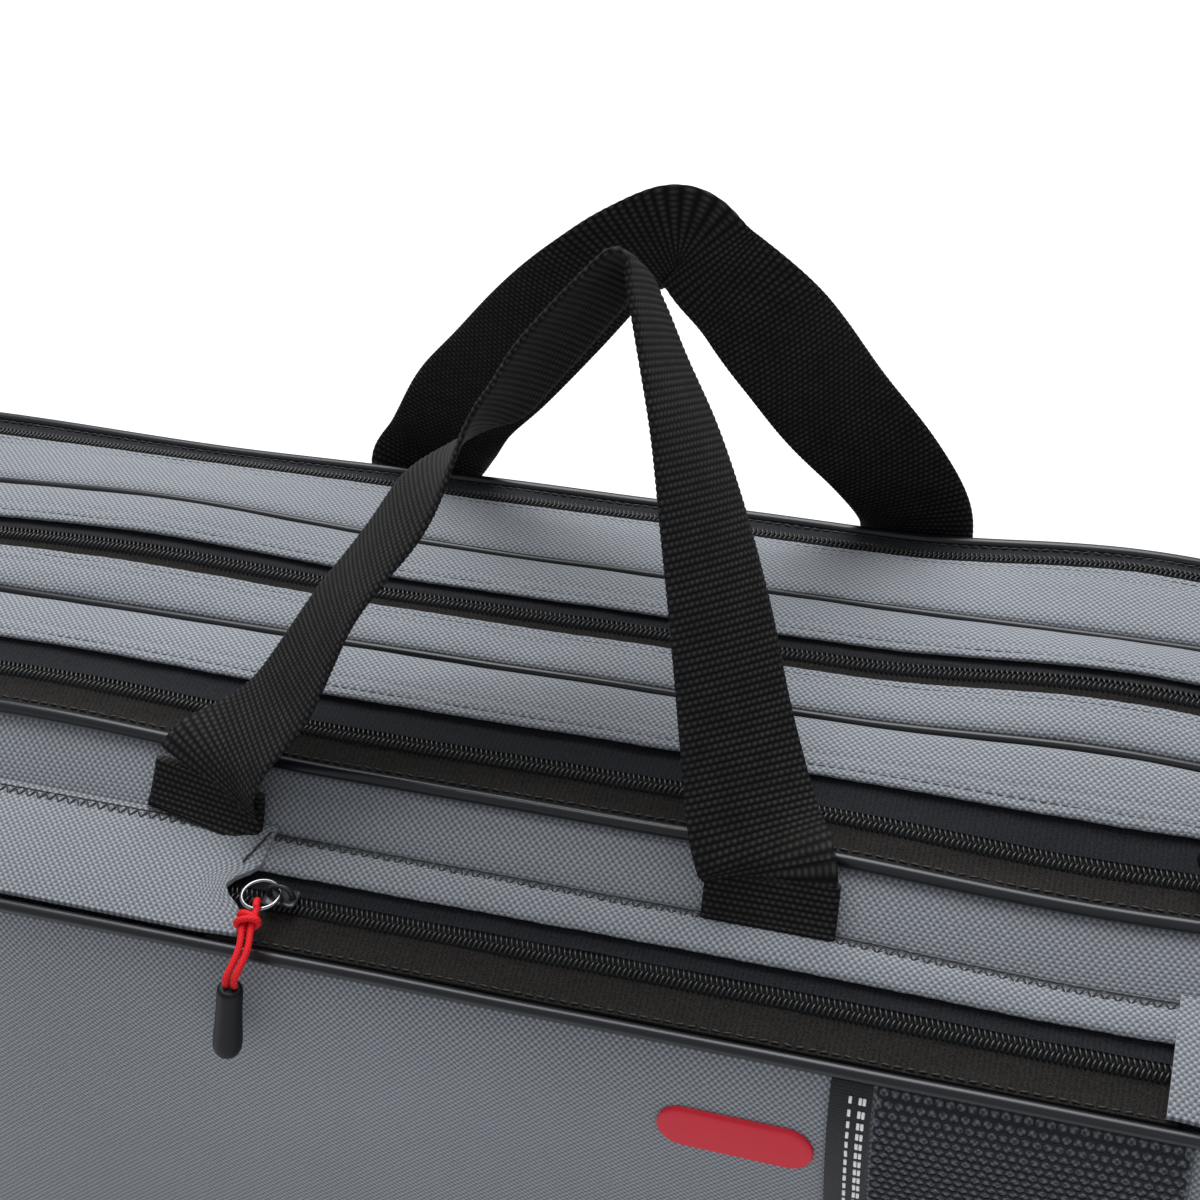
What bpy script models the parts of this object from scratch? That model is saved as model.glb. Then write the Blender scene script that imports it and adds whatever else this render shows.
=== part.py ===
"""Long soft bag with three zipped compartments side by side, a zipped front pocket and two webbing handles.

Metres, +Z up, +X along the bag, -Y to the front. The origin is on the floor, under the middle of the
main body.
"""

import math

import bmesh
import bpy
from mathutils import Vector

# ---- driving dimensions --------------------------------------------------------------------------
LENGTH = 0.640
HEIGHT = 0.300
TOP_RADIUS = 0.055
BOTTOM_RADIUS = 0.035
GAP = 0.0003

# seams between the compartments, front to back
FRONT_SEAM_Y = -0.0780
FRONT_DIVIDER_Y = -0.0275
REAR_DIVIDER_Y = 0.0280
BACK_SEAM_Y = 0.0790
PANEL = 0.003
GUSSET = 0.0025

# how the top falls away to the front and to the back, per metre squared
FRONT_FALL = 1.57
REAR_FALL = 1.90

# padded faces stand proud of their seams
FRONT_BULGE = 0.026
BACK_BULGE = 0.008
POCKET_BULGE = 0.008
BULGE_REACH = 0.010

# pocket on the front
POCKET_LENGTH = 0.500
POCKET_TOP = HEIGHT - 0.0119
POCKET_BOTTOM = 0.018
POCKET_RADIUS = 0.045
POCKET_FACE_Y = -0.1285
POCKET_WALL = 0.002
POCKET_ZIP_START = -0.0640
POCKET_ZIP_END = 0.2000

# zips
ZIP_HALF_LENGTH = 0.262
ZIPS_Y = {"front": -0.0645, "middle": -0.0015, "rear": 0.0650, "pocket": -0.1150}
COIL_WIDTH = 0.0054
COIL_DEPTH = 0.0024
COIL_DROP = 0.0006
TAPE = 0.0010
TAPE_DROP = 0.0023
STRIP = 0.0015
SLIDER_X = 0.250
POCKET_SLIDER_X = -0.0525

# piping
PIPING_RADIUS = 0.0020
THIN_PIPING_RADIUS = 0.0015

# zip pulls
RING_RADIUS = 0.0055
RING_WIRE = 0.0008
RING_HEIGHT = 0.0032
CORD_RADIUS = 0.0010
SLEEVE_LENGTH = 0.028
SLEEVE_TOP_RADIUS = 0.0037
SLEEVE_END_RADIUS = 0.0043
# which way the ring lies from the slider, and the cord from the ring, in degrees round +Z
MAIN_PULL_TURNS = (180, 180)
POCKET_PULL_TURNS = (207, 275)
CORD_SPREAD = CORD_RADIUS + 0.00025     # from the middle of the loop to each of its two runs
MOUTH_GAP = 0.0004                      # from the sleeve's mouth to the ends of the cord
LOOP_POINTS = 9

# handles
WEBBING_WIDTH = 0.038
WEBBING = 0.0020
FOOT_X = 0.0855

# Each route point: place of the webbing's middle (x, y, z above the top of the bag), and the way its width
# points. Both handles twist as they rise, so that the grip stands on edge at the top.
FRONT_ROUTE = [
    ((-0.0852, -0.0900, -0.0075), (1.00, 0.00, 0.00)),
    ((-0.0832, -0.0900, -0.0020), (0.99, -0.05, 0.02)),
    ((-0.0755, -0.0850, 0.005), (0.94, -0.28, 0.12)),
    ((-0.062, -0.0750, 0.018), (0.87, -0.41, 0.25)),
    ((-0.050, -0.0610, 0.042), (0.75, -0.57, 0.34)),
    ((-0.038, -0.0520, 0.058), (0.66, -0.67, 0.34)),
    ((-0.026, -0.0440, 0.074), (0.58, -0.75, 0.33)),
    ((-0.012, -0.0333, 0.090), (0.25, -0.75, 0.61)),
    ((-0.0035, -0.0278, 0.0975), (0.10, -0.62, 0.78)),
    ((0.0065, -0.0193, 0.1105), (0.00, -0.63, 0.78)),
    ((0.0270, -0.0060, 0.1320), (0.03, -0.68, 0.73)),
    ((0.0325, -0.0090, 0.1270), (0.02, -0.82, 0.57)),
    ((0.041, -0.0197, 0.111), (-0.10, -0.86, 0.51)),
    ((0.049, -0.0297, 0.095), (-0.25, -0.86, 0.45)),
    ((0.0565, -0.0414, 0.0755), (-0.41, -0.82, 0.39)),
    ((0.064, -0.0543, 0.053), (-0.55, -0.77, 0.32)),
    ((0.0715, -0.0690, 0.027), (-0.68, -0.69, 0.25)),
    ((0.079, -0.0825, 0.006), (-0.85, -0.50, 0.10)),
    ((0.0840, -0.0890, -0.0020), (-0.98, -0.14, 0.02)),
    ((0.0850, -0.0900, -0.0075), (-1.00, 0.00, 0.00)),
]
BACK_ROUTE = [
    ((-0.085, 0.0915, -0.036), (1.00, 0.00, 0.00)),
    ((-0.085, 0.0905, -0.022), (0.99, 0.05, -0.10)),
    ((-0.076, 0.0870, -0.008), (0.95, 0.05, -0.30)),
    ((-0.070, 0.0820, 0.002), (0.92, 0.05, -0.37)),
    ((-0.0585, 0.0740, 0.022), (0.81, -0.04, -0.58)),
    ((-0.0415, 0.0660, 0.043), (0.68, -0.02, -0.73)),
    ((-0.0215, 0.0580, 0.068), (0.53, 0.16, -0.83)),
    ((-0.004, 0.0540, 0.088), (0.32, 0.33, -0.88)),
    ((0.009, 0.0550, 0.0985), (0.08, 0.28, -0.95)),
    ((0.022, 0.0580, 0.1025), (-0.20, 0.06, -0.98)),
    ((0.0345, 0.0560, 0.095), (-0.40, 0.00, -0.92)),
    ((0.048, 0.0550, 0.083), (-0.57, -0.13, -0.81)),
    ((0.059, 0.0600, 0.065), (-0.63, -0.36, -0.68)),
    ((0.070, 0.0690, 0.041), (-0.74, -0.36, -0.56)),
    ((0.081, 0.0780, 0.016), (-0.86, -0.20, -0.47)),
    ((0.087, 0.0860, -0.006), (-0.92, -0.06, -0.38)),
    ((0.0875, 0.0905, -0.022), (-0.99, 0.00, -0.12)),
    ((0.0870, 0.0915, -0.036), (-1.00, 0.00, 0.00)),
]

# ---- materials -----------------------------------------------------------------------------------
FINISHES = {
    "grey_fabric": ((0.27, 0.29, 0.32), 0.85, 0.0),
    "lining": ((0.08, 0.08, 0.09), 0.90, 0.0),
    "zip_tape": ((0.028, 0.027, 0.026), 0.85, 0.0),
    "zip_coil": ((0.02, 0.02, 0.022), 0.45, 0.0),
    "webbing": ((0.016, 0.016, 0.018), 0.75, 0.0),
    "piping": ((0.020, 0.024, 0.028), 0.35, 0.0),
    "slider_metal": ((0.03, 0.03, 0.032), 0.35, 0.8),
    "ring_wire": ((0.55, 0.56, 0.58), 0.25, 1.0),
    "pull_cord": ((0.80, 0.01, 0.015), 0.6, 0.0),
    "pull_sleeve": ((0.02, 0.022, 0.028), 0.6, 0.0),
    "mesh_net": ((0.05, 0.055, 0.06), 0.8, 0.0),
    "reflective": ((0.62, 0.64, 0.64), 0.4, 0.0),
    "emblem_red": ((0.58, 0.0, 0.03), 0.6, 0.0),
    "base_board": ((0.10, 0.10, 0.10), 0.7, 0.0),
}


def material(name):
    """The shared material of that finish."""
    found = bpy.data.materials.get(name)
    if found:
        return found
    colour, roughness, metallic = FINISHES[name]
    made = bpy.data.materials.new(name)
    made.use_nodes = True
    shader = made.node_tree.nodes["Principled BSDF"]
    shader.inputs["Base Color"].default_value = (*colour, 1.0)
    shader.inputs["Roughness"].default_value = roughness
    shader.inputs["Metallic"].default_value = metallic
    return made


def add_object(name, mesh, finish):
    mesh.materials.append(material(finish))
    made = bpy.data.objects.new(name, mesh)
    bpy.context.scene.collection.objects.link(made)
    return made


def settle(point):
    """The top of the bag falls away to the front and the back; the base stays flat."""
    x, y, z = point
    if y < FRONT_DIVIDER_Y:
        fall = FRONT_FALL * (y - FRONT_DIVIDER_Y) ** 2
    elif y > 0:
        fall = REAR_FALL * y ** 2
    else:
        fall = 0.0
    return Vector((x, y, z - fall * max(0.0, z) / HEIGHT))


def top_at(y):
    return settle((0.0, y, HEIGHT)).z


def closed_mesh(name, rings, finish, loop=False, smooth=False):
    """Skin a row of rings, each a list of points; the ends are capped unless the row closes on itself."""
    work = bmesh.new()
    grid = [[work.verts.new(point) for point in ring] for ring in rings]
    count = len(rings[0])
    rows = len(rings)
    for row in range(rows if loop else rows - 1):
        here, there = grid[row], grid[(row + 1) % rows]
        for i in range(count):
            j = (i + 1) % count
            work.faces.new((here[i], here[j], there[j], there[i]))
    if not loop:
        work.faces.new(list(reversed(grid[0])))
        work.faces.new(grid[-1])
    bmesh.ops.recalc_face_normals(work, faces=work.faces)
    mesh = bpy.data.meshes.new(name)
    work.to_mesh(mesh)
    work.free()
    if smooth:
        mesh.shade_smooth()
    return add_object(name, mesh, finish)


def rounded_outline(half_length, top, bottom, top_radius, bottom_radius, steps=6):
    """A rounded rectangle in X and Z, clockwise from the middle of the top seen from the front."""
    corners = [
        (half_length - top_radius, top - top_radius, top_radius, 90),
        (half_length - bottom_radius, bottom + bottom_radius, bottom_radius, 0),
        (-half_length + bottom_radius, bottom + bottom_radius, bottom_radius, -90),
        (-half_length + top_radius, top - top_radius, top_radius, -180),
    ]
    points = []
    for cx, cz, radius, start in corners:
        for step in range(steps + 1):
            turn = math.radians(start - 90 * step / steps)
            points.append((cx + radius * math.cos(turn), cz + radius * math.sin(turn)))
    return points


def body_outline(inset):
    """The main body's outline in X and Z, moved in by inset."""
    return rounded_outline(
        LENGTH / 2 - inset, HEIGHT - inset, inset,
        max(TOP_RADIUS - inset, 0.006), max(BOTTOM_RADIUS - inset, 0.006),
    )


def pocket_outline(inset):
    return rounded_outline(
        POCKET_LENGTH / 2 - inset, POCKET_TOP - inset, POCKET_BOTTOM + inset,
        max(POCKET_RADIUS - inset, 0.006), max(POCKET_RADIUS - inset, 0.006),
    )


def bulge(depth_in, height):
    return height * (1.0 - math.exp(-depth_in / BULGE_REACH))


def padded_panel(name, outline, edge_inset, y_inner, outward, thickness, height, finish):
    """A panel with a crowned face: rings of the outline go in from the edge on both sides of the cloth."""
    insets = [0.0, 0.003, 0.007, 0.012, 0.020, 0.034]
    y_edge = y_inner + outward * thickness
    outer = []
    inner = []
    for step in insets:
        rise = outward * bulge(step, height)
        ring = outline(edge_inset + step)
        outer.append([settle((x, y_edge + rise, z)) for x, z in ring])
        inner.append([settle((x, y_inner + rise, z)) for x, z in ring])
    return closed_mesh(name, list(reversed(outer)) + inner, finish)


def flat_panel(name, inset, y_low, y_high, finish):
    ring = body_outline(inset)
    front = [settle((x, y_low, z)) for x, z in ring]
    back = [settle((x, y_high, z)) for x, z in ring]
    return closed_mesh(name, [front, back], finish)


def open_band(name, outline, thickness, start_x, end_x, y_ends, finish):
    """A band that runs round the outline, from end_x on the top, round the bottom, to start_x on the top.

    y_ends gives the band's front and back edge for a point of the outline.
    """
    outer = outline(0.0)
    inner = outline(thickness)
    pairs = [((end_x, outer[0][1]), (end_x, inner[0][1]))]
    pairs += list(zip(outer, inner))
    pairs.append(((start_x, outer[-1][1]), (start_x, inner[-1][1])))
    rings = []
    for out, ins in pairs:
        front, back = y_ends(out)
        inner_front, inner_back = y_ends(ins)
        rings.append([
            settle((out[0], front, out[1])), settle((out[0], back, out[1])),
            settle((ins[0], inner_back, ins[1])), settle((ins[0], inner_front, ins[1])),
        ])
    return closed_mesh(name, rings, finish)


def top_bar(name, x_low, x_high, y_low, y_high, z_low, z_high, finish):
    """A flat strip along the bag, with z counted down from the top surface, following its fall."""
    def end(x):
        return [
            settle((x, y_low, z_low)), settle((x, y_high, z_low)),
            settle((x, y_high, z_high)), settle((x, y_low, z_high)),
        ]
    return closed_mesh(name, [end(x_low), end(x_high)], finish)


def tube_loop(name, path, radius, finish, sides=6):
    """A closed round tube on a closed path of points."""
    rings = []
    count = len(path)
    for i, here in enumerate(path):
        along = (path[(i + 1) % count] - path[i - 1]).normalized()
        side = Vector((0, 1, 0))
        side = (side - along * side.dot(along)).normalized()
        up = along.cross(side)
        rings.append([
            here + side * (radius * math.cos(a)) + up * (radius * math.sin(a))
            for a in (2 * math.pi * k / sides for k in range(sides))
        ])
    return closed_mesh(name, rings, finish, loop=True, smooth=True)


def box(name, low, high, finish):
    x0, y0, z0 = low
    x1, y1, z1 = high
    rings = [
        [Vector(p) for p in ((x, y0, z0), (x, y1, z0), (x, y1, z1), (x, y0, z1))]
        for x in (x0, x1)
    ]
    return closed_mesh(name, rings, finish)


def smooth_route(points, pieces):
    """Catmull-Rom curve through the points, with that many pieces between two of them."""
    padded = [2 * points[0] - points[1]] + points + [2 * points[-1] - points[-2]]
    route = []
    for i in range(1, len(padded) - 2):
        p0, p1, p2, p3 = padded[i - 1:i + 3]
        for k in range(pieces):
            t = k / pieces
            route.append(
                0.5 * (2 * p1 + (p2 - p0) * t + (2 * p0 - 5 * p1 + 4 * p2 - p3) * t ** 2
                       + (3 * p1 - p0 - 3 * p2 + p3) * t ** 3)
            )
    route.append(points[-1].copy())
    return route


# ---- main body -----------------------------------------------------------------------------------
PANEL_EDGE = 0.0045
DIVIDER_EDGE = 0.0035


def make_body():
    half = PANEL / 2
    padded_panel("front_panel", body_outline, PANEL_EDGE, FRONT_SEAM_Y + half, -1, PANEL, FRONT_BULGE,
                 "grey_fabric")
    padded_panel("back_panel", body_outline, PANEL_EDGE, BACK_SEAM_Y - half, 1, PANEL, BACK_BULGE,
                 "grey_fabric")
    flat_panel("divider_front", DIVIDER_EDGE, FRONT_DIVIDER_Y - half, FRONT_DIVIDER_Y + half, "lining")
    flat_panel("divider_rear", DIVIDER_EDGE, REAR_DIVIDER_Y - half, REAR_DIVIDER_Y + half, "lining")
    seams = [FRONT_SEAM_Y, FRONT_DIVIDER_Y, REAR_DIVIDER_Y, BACK_SEAM_Y]
    end = ZIP_HALF_LENGTH + GAP
    for place, y_front, y_back in zip(("front", "middle", "rear"), seams, seams[1:]):
        low = y_front + half + GAP
        high = y_back - half - GAP
        open_band(f"gusset_{place}", body_outline, GUSSET, -end, end, lambda p, a=low, b=high: (a, b),
                  "grey_fabric")
        floor = GUSSET + GAP
        box(f"base_board_{place}", (-0.270, low + 0.002, floor), (0.270, high - 0.002, floor + 0.002),
            "base_board")


def make_piping():
    loops = [
        ("piping_front", FRONT_SEAM_Y - 0.0005, PIPING_RADIUS),
        ("piping_divider_front", FRONT_DIVIDER_Y, THIN_PIPING_RADIUS),
        ("piping_divider_rear", REAR_DIVIDER_Y, THIN_PIPING_RADIUS),
        ("piping_back", BACK_SEAM_Y + 0.0005, PIPING_RADIUS),
    ]
    for name, y, radius in loops:
        path = [settle((x, y, z)) for x, z in body_outline(radius + GAP)]
        tube_loop(name, path, radius, "piping")
    path = [settle((x, POCKET_FACE_Y - 0.0027, z)) for x, z in pocket_outline(PIPING_RADIUS + 0.0002)]
    tube_loop("piping_pocket", path, PIPING_RADIUS, "piping")


# ---- zips ----------------------------------------------------------------------------------------
def zip_row(place, x_low, x_high, tape_front, tape_rear, level):
    """Both tapes and the closed coil of one zip. level is the surface that it is let into."""
    y = ZIPS_Y[place]
    half = COIL_WIDTH / 2
    tape_top = level - TAPE_DROP
    top_bar(f"zip_{place}_tape_front", x_low, x_high, tape_front, y - half - GAP, tape_top - TAPE, tape_top,
            "zip_tape")
    top_bar(f"zip_{place}_tape_rear", x_low, x_high, y + half + GAP, tape_rear, tape_top - TAPE, tape_top,
            "zip_tape")
    coil_top = level - COIL_DROP
    top_bar(f"zip_{place}_coil", x_low, x_high, y - half, y + half, coil_top - COIL_DEPTH, coil_top,
            "zip_coil")


def make_top():
    half = PANEL / 2 + GAP
    end = ZIP_HALF_LENGTH
    strips = [
        ("top_strip_front", -0.0515, FRONT_DIVIDER_Y - half),
        ("top_strip_middle_front", FRONT_DIVIDER_Y + half, -0.0090),
        ("top_strip_middle_rear", 0.0060, REAR_DIVIDER_Y - half),
        ("top_strip_rear", REAR_DIVIDER_Y + half, 0.0605),
    ]
    for name, low, high in strips:
        top_bar(name, -end, end, low, high, HEIGHT - STRIP, HEIGHT, "grey_fabric")
    zip_row("front", -end, end, FRONT_SEAM_Y + half, -0.0460, HEIGHT)
    zip_row("middle", -end, end, -0.0150, 0.0120, HEIGHT)
    zip_row("rear", -end, end, 0.0540, BACK_SEAM_Y - half, HEIGHT)


def make_slider(place, x):
    """A plate that rides on the coil, with an arch for the pull ring."""
    y = ZIPS_Y[place]
    level = top_at(y) if place != "pocket" else settle((0.0, y, POCKET_TOP)).z
    centre = Vector((x, y, level))
    slider = box(f"slider_{place}", (-0.005, -0.0042, 0.0004), (0.005, 0.0042, 0.0013), "slider_metal")
    arch = box("arch", (-0.0037, -0.0012, 0.0009), (0.0037, 0.0012, 0.0056), "slider_metal")
    eye = box("eye", (-0.0025, -0.0030, 0.0018), (0.0025, 0.0030, 0.0046), "slider_metal")
    for tool, action in ((arch, "UNION"), (eye, "DIFFERENCE")):
        step = slider.modifiers.new(action.lower(), "BOOLEAN")
        step.operation = action
        step.object = tool
        tool.hide_render = True
        tool.display_type = "WIRE"
    for piece in (slider, arch, eye):
        piece.location = centre
    return centre


def level_direction(degrees):
    """A level direction, turned from +X round +Z."""
    return Vector((math.cos(math.radians(degrees)), math.sin(math.radians(degrees)), 0.0))


def ring(name, centre):
    """The wire ring lies flat and passes through the slider's arch."""
    steps = 20
    path = [
        centre + Vector((RING_RADIUS * math.cos(2 * math.pi * k / steps),
                         RING_RADIUS * math.sin(2 * math.pi * k / steps), 0.0))
        for k in range(steps)
    ]
    rings = []
    for k, here in enumerate(path):
        outward = (here - centre).normalized()
        rings.append([
            here + outward * (RING_WIRE * math.cos(a)) + Vector((0, 0, RING_WIRE * math.sin(a)))
            for a in (2 * math.pi * s / 6 for s in range(6))
        ])
    return closed_mesh(name, rings, "ring_wire", loop=True, smooth=True)


def cord(name, points):
    curve = bpy.data.curves.new(name, "CURVE")
    curve.dimensions = "3D"
    curve.bevel_depth = CORD_RADIUS
    curve.bevel_resolution = 2
    curve.use_fill_caps = True
    route = smooth_route(points, 3)
    spline = curve.splines.new("POLY")
    spline.points.add(len(route) - 1)
    for point, place in zip(spline.points, route):
        point.co = (*place, 1.0)
    curve.materials.append(material("pull_cord"))
    made = bpy.data.objects.new(name, curve)
    bpy.context.scene.collection.objects.link(made)
    return made


def sleeve(name, mouth, along):
    """A moulded sleeve: it widens towards a round end."""
    profile = [
        (0.0, SLEEVE_TOP_RADIUS * 0.85), (0.0015, SLEEVE_TOP_RADIUS), (0.020, SLEEVE_END_RADIUS),
        (0.0245, SLEEVE_END_RADIUS), (0.0268, SLEEVE_END_RADIUS * 0.75),
        (SLEEVE_LENGTH, SLEEVE_END_RADIUS * 0.3),
    ]
    along = along.normalized()
    side = along.orthogonal().normalized()
    up = along.cross(side)
    sides = 12
    rings = [
        [mouth + along * d + side * (r * math.cos(a)) + up * (r * math.sin(a))
         for a in (2 * math.pi * k / sides for k in range(sides))]
        for d, r in profile
    ]
    return closed_mesh(name, rings, "pull_sleeve", smooth=True)


def loop_route(outbound, across, round_ring):
    """The cord goes out along one side of the middle line, round the ring, and back along the other side."""
    there = [point + across * CORD_SPREAD for point in outbound]
    back = [point - across * CORD_SPREAD for point in reversed(outbound)]
    return there + round_ring + back


def make_pull(place, x):
    """Ring, cord loop and sleeve of one slider."""
    centre = make_slider(place, x)
    on_pocket = place == "pocket"
    ring_turn, cord_turn = POCKET_PULL_TURNS if on_pocket else MAIN_PULL_TURNS
    ring_centre = centre + level_direction(ring_turn) * RING_RADIUS + Vector((0.0, 0.0, RING_HEIGHT))
    ring(f"pull_ring_{place}", ring_centre)
    away = level_direction(cord_turn)
    hold = ring_centre + away * RING_RADIUS
    across = Vector((-away.y, away.x, 0.0))
    if on_pocket:
        mouth = hold + Vector((0.0, -0.0210, -0.0097))
        along = Vector((-0.17, -0.09, -1.0)).normalized()
        bends = [
            mouth - along * MOUTH_GAP,
            mouth - along * 0.0036,
            hold + Vector((0.0018, -0.0135, -0.0022)),
            hold + away * 0.0068 + Vector((0.0, 0.0, 0.0004)),
        ]
    else:
        mouth = hold + away * 0.0150 + Vector((0.0, 0.0, SLEEVE_END_RADIUS - 0.0023))
        along = away
        bends = [
            mouth - along * MOUTH_GAP,
            mouth - along * 0.0040,
            hold + away * 0.0065 + Vector((0.0, 0.0, 0.0018)),
        ]
    up = Vector((0.0, 0.0, 1.0))
    clear = RING_WIRE + CORD_RADIUS + 2 * GAP
    round_ring = []
    for k in range(LOOP_POINTS):
        angle = math.radians(40 + 280 * k / (LOOP_POINTS - 1))
        slip = CORD_SPREAD * (1 - 2 * k / (LOOP_POINTS - 1))
        round_ring.append(hold + away * (clear * math.cos(angle)) + up * (clear * math.sin(angle))
                          + across * slip)
    cord(f"pull_cord_{place}", loop_route(bends, across, round_ring))
    sleeve(f"pull_sleeve_{place}", mouth, along)


# ---- pocket --------------------------------------------------------------------------------------
def front_face_y(x, z):
    """Where the front panel's outer face is, in front of a point of the pocket's outline."""
    inside = min(
        LENGTH / 2 - PANEL_EDGE - abs(x),
        HEIGHT - PANEL_EDGE - z,
        z - PANEL_EDGE,
    )
    return FRONT_SEAM_Y - PANEL / 2 - bulge(max(inside, 0.0), FRONT_BULGE)


def make_pocket():
    padded_panel("pocket_face", pocket_outline, PANEL_EDGE, POCKET_FACE_Y, -1, POCKET_WALL, POCKET_BULGE,
                 "grey_fabric")
    edge = POCKET_FACE_Y + GAP
    seat = 0.0014
    open_band("pocket_gusset", pocket_outline, POCKET_WALL, POCKET_ZIP_START, POCKET_ZIP_END,
              lambda p: (edge, front_face_y(*p) - seat), "grey_fabric")
    start = POCKET_ZIP_START + GAP
    end = POCKET_ZIP_END - GAP
    y_back = front_face_y(0.0, POCKET_TOP - STRIP) - 2 * GAP
    top_bar("pocket_hem_strip", start, end, -0.1070, y_back, POCKET_TOP - STRIP, POCKET_TOP, "grey_fabric")
    zip_row("pocket", start, end, edge, -0.1030, POCKET_TOP)
    laid_on_face("reflective_tape", 0.1112, 0.1226, 0.0010, "reflective")
    laid_on_face("mesh_panel", 0.1232, 0.2050, 0.0012, "mesh_net")
    make_emblem(POCKET_FACE_Y - POCKET_WALL - POCKET_BULGE - 0.0006)


def laid_on_face(name, x_low, x_high, thickness, finish):
    """A flat band sewn on the pocket face, from its top piping down; it follows the crown of the face."""
    profile = []
    for inset in (0.0012, 0.003, 0.007, 0.012, 0.020, 0.034, 0.110, 0.195, 0.205):
        y = POCKET_FACE_Y - POCKET_WALL - bulge(inset, POCKET_BULGE) - 0.0005
        profile.append((y, POCKET_TOP - PANEL_EDGE - inset))
    rings = []
    for x in (x_low, x_high):
        back = [settle((x, y, z)) for y, z in profile]
        front = [settle((x, y - thickness, z)) for y, z in profile]
        rings.append(back + list(reversed(front)))
    return closed_mesh(name, rings, finish)


def make_emblem(face):
    """A plain rounded bar sewn on the pocket."""
    x_low, x_high = 0.064, 0.108
    z_low, z_high = POCKET_TOP - 0.055, POCKET_TOP - 0.040
    radius = (z_high - z_low) / 2
    outline = []
    for cx, start in ((x_high - radius, 90), (x_low + radius, -90)):
        for step in range(9):
            turn = math.radians(start - 180 * step / 8)
            outline.append((cx + radius * math.cos(turn), z_low + radius + radius * math.sin(turn)))
    rings = [[Vector((x, y, z)) for x, z in outline] for y in (face - 0.0010, face)]
    closed_mesh("emblem", rings, "emblem_red")


# ---- handles -------------------------------------------------------------------------------------
def make_handle(name, route):
    """Webbing swept along its route, with a rectangle of its own width and thickness."""
    lift = Vector((0.0, 0.0, HEIGHT))
    middles = smooth_route([Vector(p) + lift for p, _ in route], 2)
    widths = smooth_route([Vector(w) for _, w in route], 2)
    rings = []
    for i, here in enumerate(middles):
        ahead = middles[min(i + 1, len(middles) - 1)] - middles[max(i - 1, 0)]
        width = widths[i] - ahead * (widths[i].dot(ahead) / ahead.length_squared)
        width = width.normalized() * (WEBBING_WIDTH / 2)
        through = ahead.cross(width).normalized() * (WEBBING / 2)
        rings.append([here - width - through, here + width - through,
                      here + width + through, here - width + through])
    return closed_mesh(name, rings, "webbing")


def make_feet(name, profile):
    """Both sewn ends of a handle: doubled webbing that follows the panel."""
    for side, place in ((-1, "left"), (1, "right")):
        ends = (side * FOOT_X - WEBBING_WIDTH / 2, side * FOOT_X + WEBBING_WIDTH / 2)
        rings = [[Vector((x, y, z)) for y, z in profile] for x in ends]
        closed_mesh(f"{name}_{place}", rings, "webbing")


def front_foot_profile():
    """From the piping down to the pocket seam, on the bulge of the front panel."""
    steps = [0.0012, 0.0022, 0.0036, 0.0052, 0.0062]
    inner = []
    outer = []
    for step in steps:
        z = HEIGHT - PANEL_EDGE - step
        y = FRONT_SEAM_Y - PANEL / 2 - bulge(step, FRONT_BULGE)
        slope = Vector((-1.0, 0.0)) * 0.75 + Vector((0.0, 1.0)) * 0.65
        inner.append((y + slope.x * 0.0006, z + slope.y * 0.0006))
        outer.append((y + slope.x * 0.0026, z + slope.y * 0.0026))
    ring_points = inner + list(reversed(outer))
    return [tuple(settle((0.0, y, z)))[1:] for y, z in ring_points]


def back_foot_profile():
    y = BACK_SEAM_Y + PANEL / 2 + BACK_BULGE + 0.0006
    z_low, z_high = HEIGHT - 0.060, HEIGHT - 0.0390
    return [(y, z_low), (y + 0.0022, z_low), (y + 0.0022, z_high), (y, z_high)]


def main():
    for existing in list(bpy.data.objects):
        bpy.data.objects.remove(existing, do_unlink=True)
    make_body()
    make_piping()
    make_top()
    make_pocket()
    for place in ("front", "middle", "rear"):
        make_pull(place, SLIDER_X)
    make_pull("pocket", POCKET_SLIDER_X)
    make_handle("handle_front", FRONT_ROUTE)
    make_handle("handle_back", BACK_ROUTE)
    make_feet("handle_front_foot", front_foot_profile())
    make_feet("handle_back_foot", back_foot_profile())


main()
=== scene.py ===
# %% [markdown]
# # The looks of a long soft bag
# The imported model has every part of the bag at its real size: panels, zips, piping, pulls and handles.
# This lesson gives each part its cloth, thread, nylon or wire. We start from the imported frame, because
# most places below are then read from the model itself.

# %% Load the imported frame
import bisect
import math

import bmesh
import bpy
from mathutils import Matrix, Vector, noise


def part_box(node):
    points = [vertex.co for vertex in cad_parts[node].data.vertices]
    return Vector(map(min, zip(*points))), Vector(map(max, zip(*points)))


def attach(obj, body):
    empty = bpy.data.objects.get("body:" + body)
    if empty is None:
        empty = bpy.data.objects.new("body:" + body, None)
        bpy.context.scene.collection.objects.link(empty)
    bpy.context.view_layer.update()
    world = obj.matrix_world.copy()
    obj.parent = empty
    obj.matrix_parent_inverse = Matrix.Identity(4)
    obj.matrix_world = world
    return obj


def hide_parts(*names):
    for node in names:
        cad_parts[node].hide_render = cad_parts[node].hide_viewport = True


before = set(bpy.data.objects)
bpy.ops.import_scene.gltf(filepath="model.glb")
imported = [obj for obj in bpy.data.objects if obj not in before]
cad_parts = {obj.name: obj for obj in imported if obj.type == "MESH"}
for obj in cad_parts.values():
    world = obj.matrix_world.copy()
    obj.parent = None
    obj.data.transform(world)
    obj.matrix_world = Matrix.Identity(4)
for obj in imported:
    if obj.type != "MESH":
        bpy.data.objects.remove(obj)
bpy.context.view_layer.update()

MM = 0.001

# %% [markdown]
# ## Camera and light
# The camera stands in front of the bag, to its right, and looks down on the zips. Its axes come from a
# turn about the vertical, a tilt down and a small roll, and a matrix of named axes is easier to check
# than Euler angles.

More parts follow.
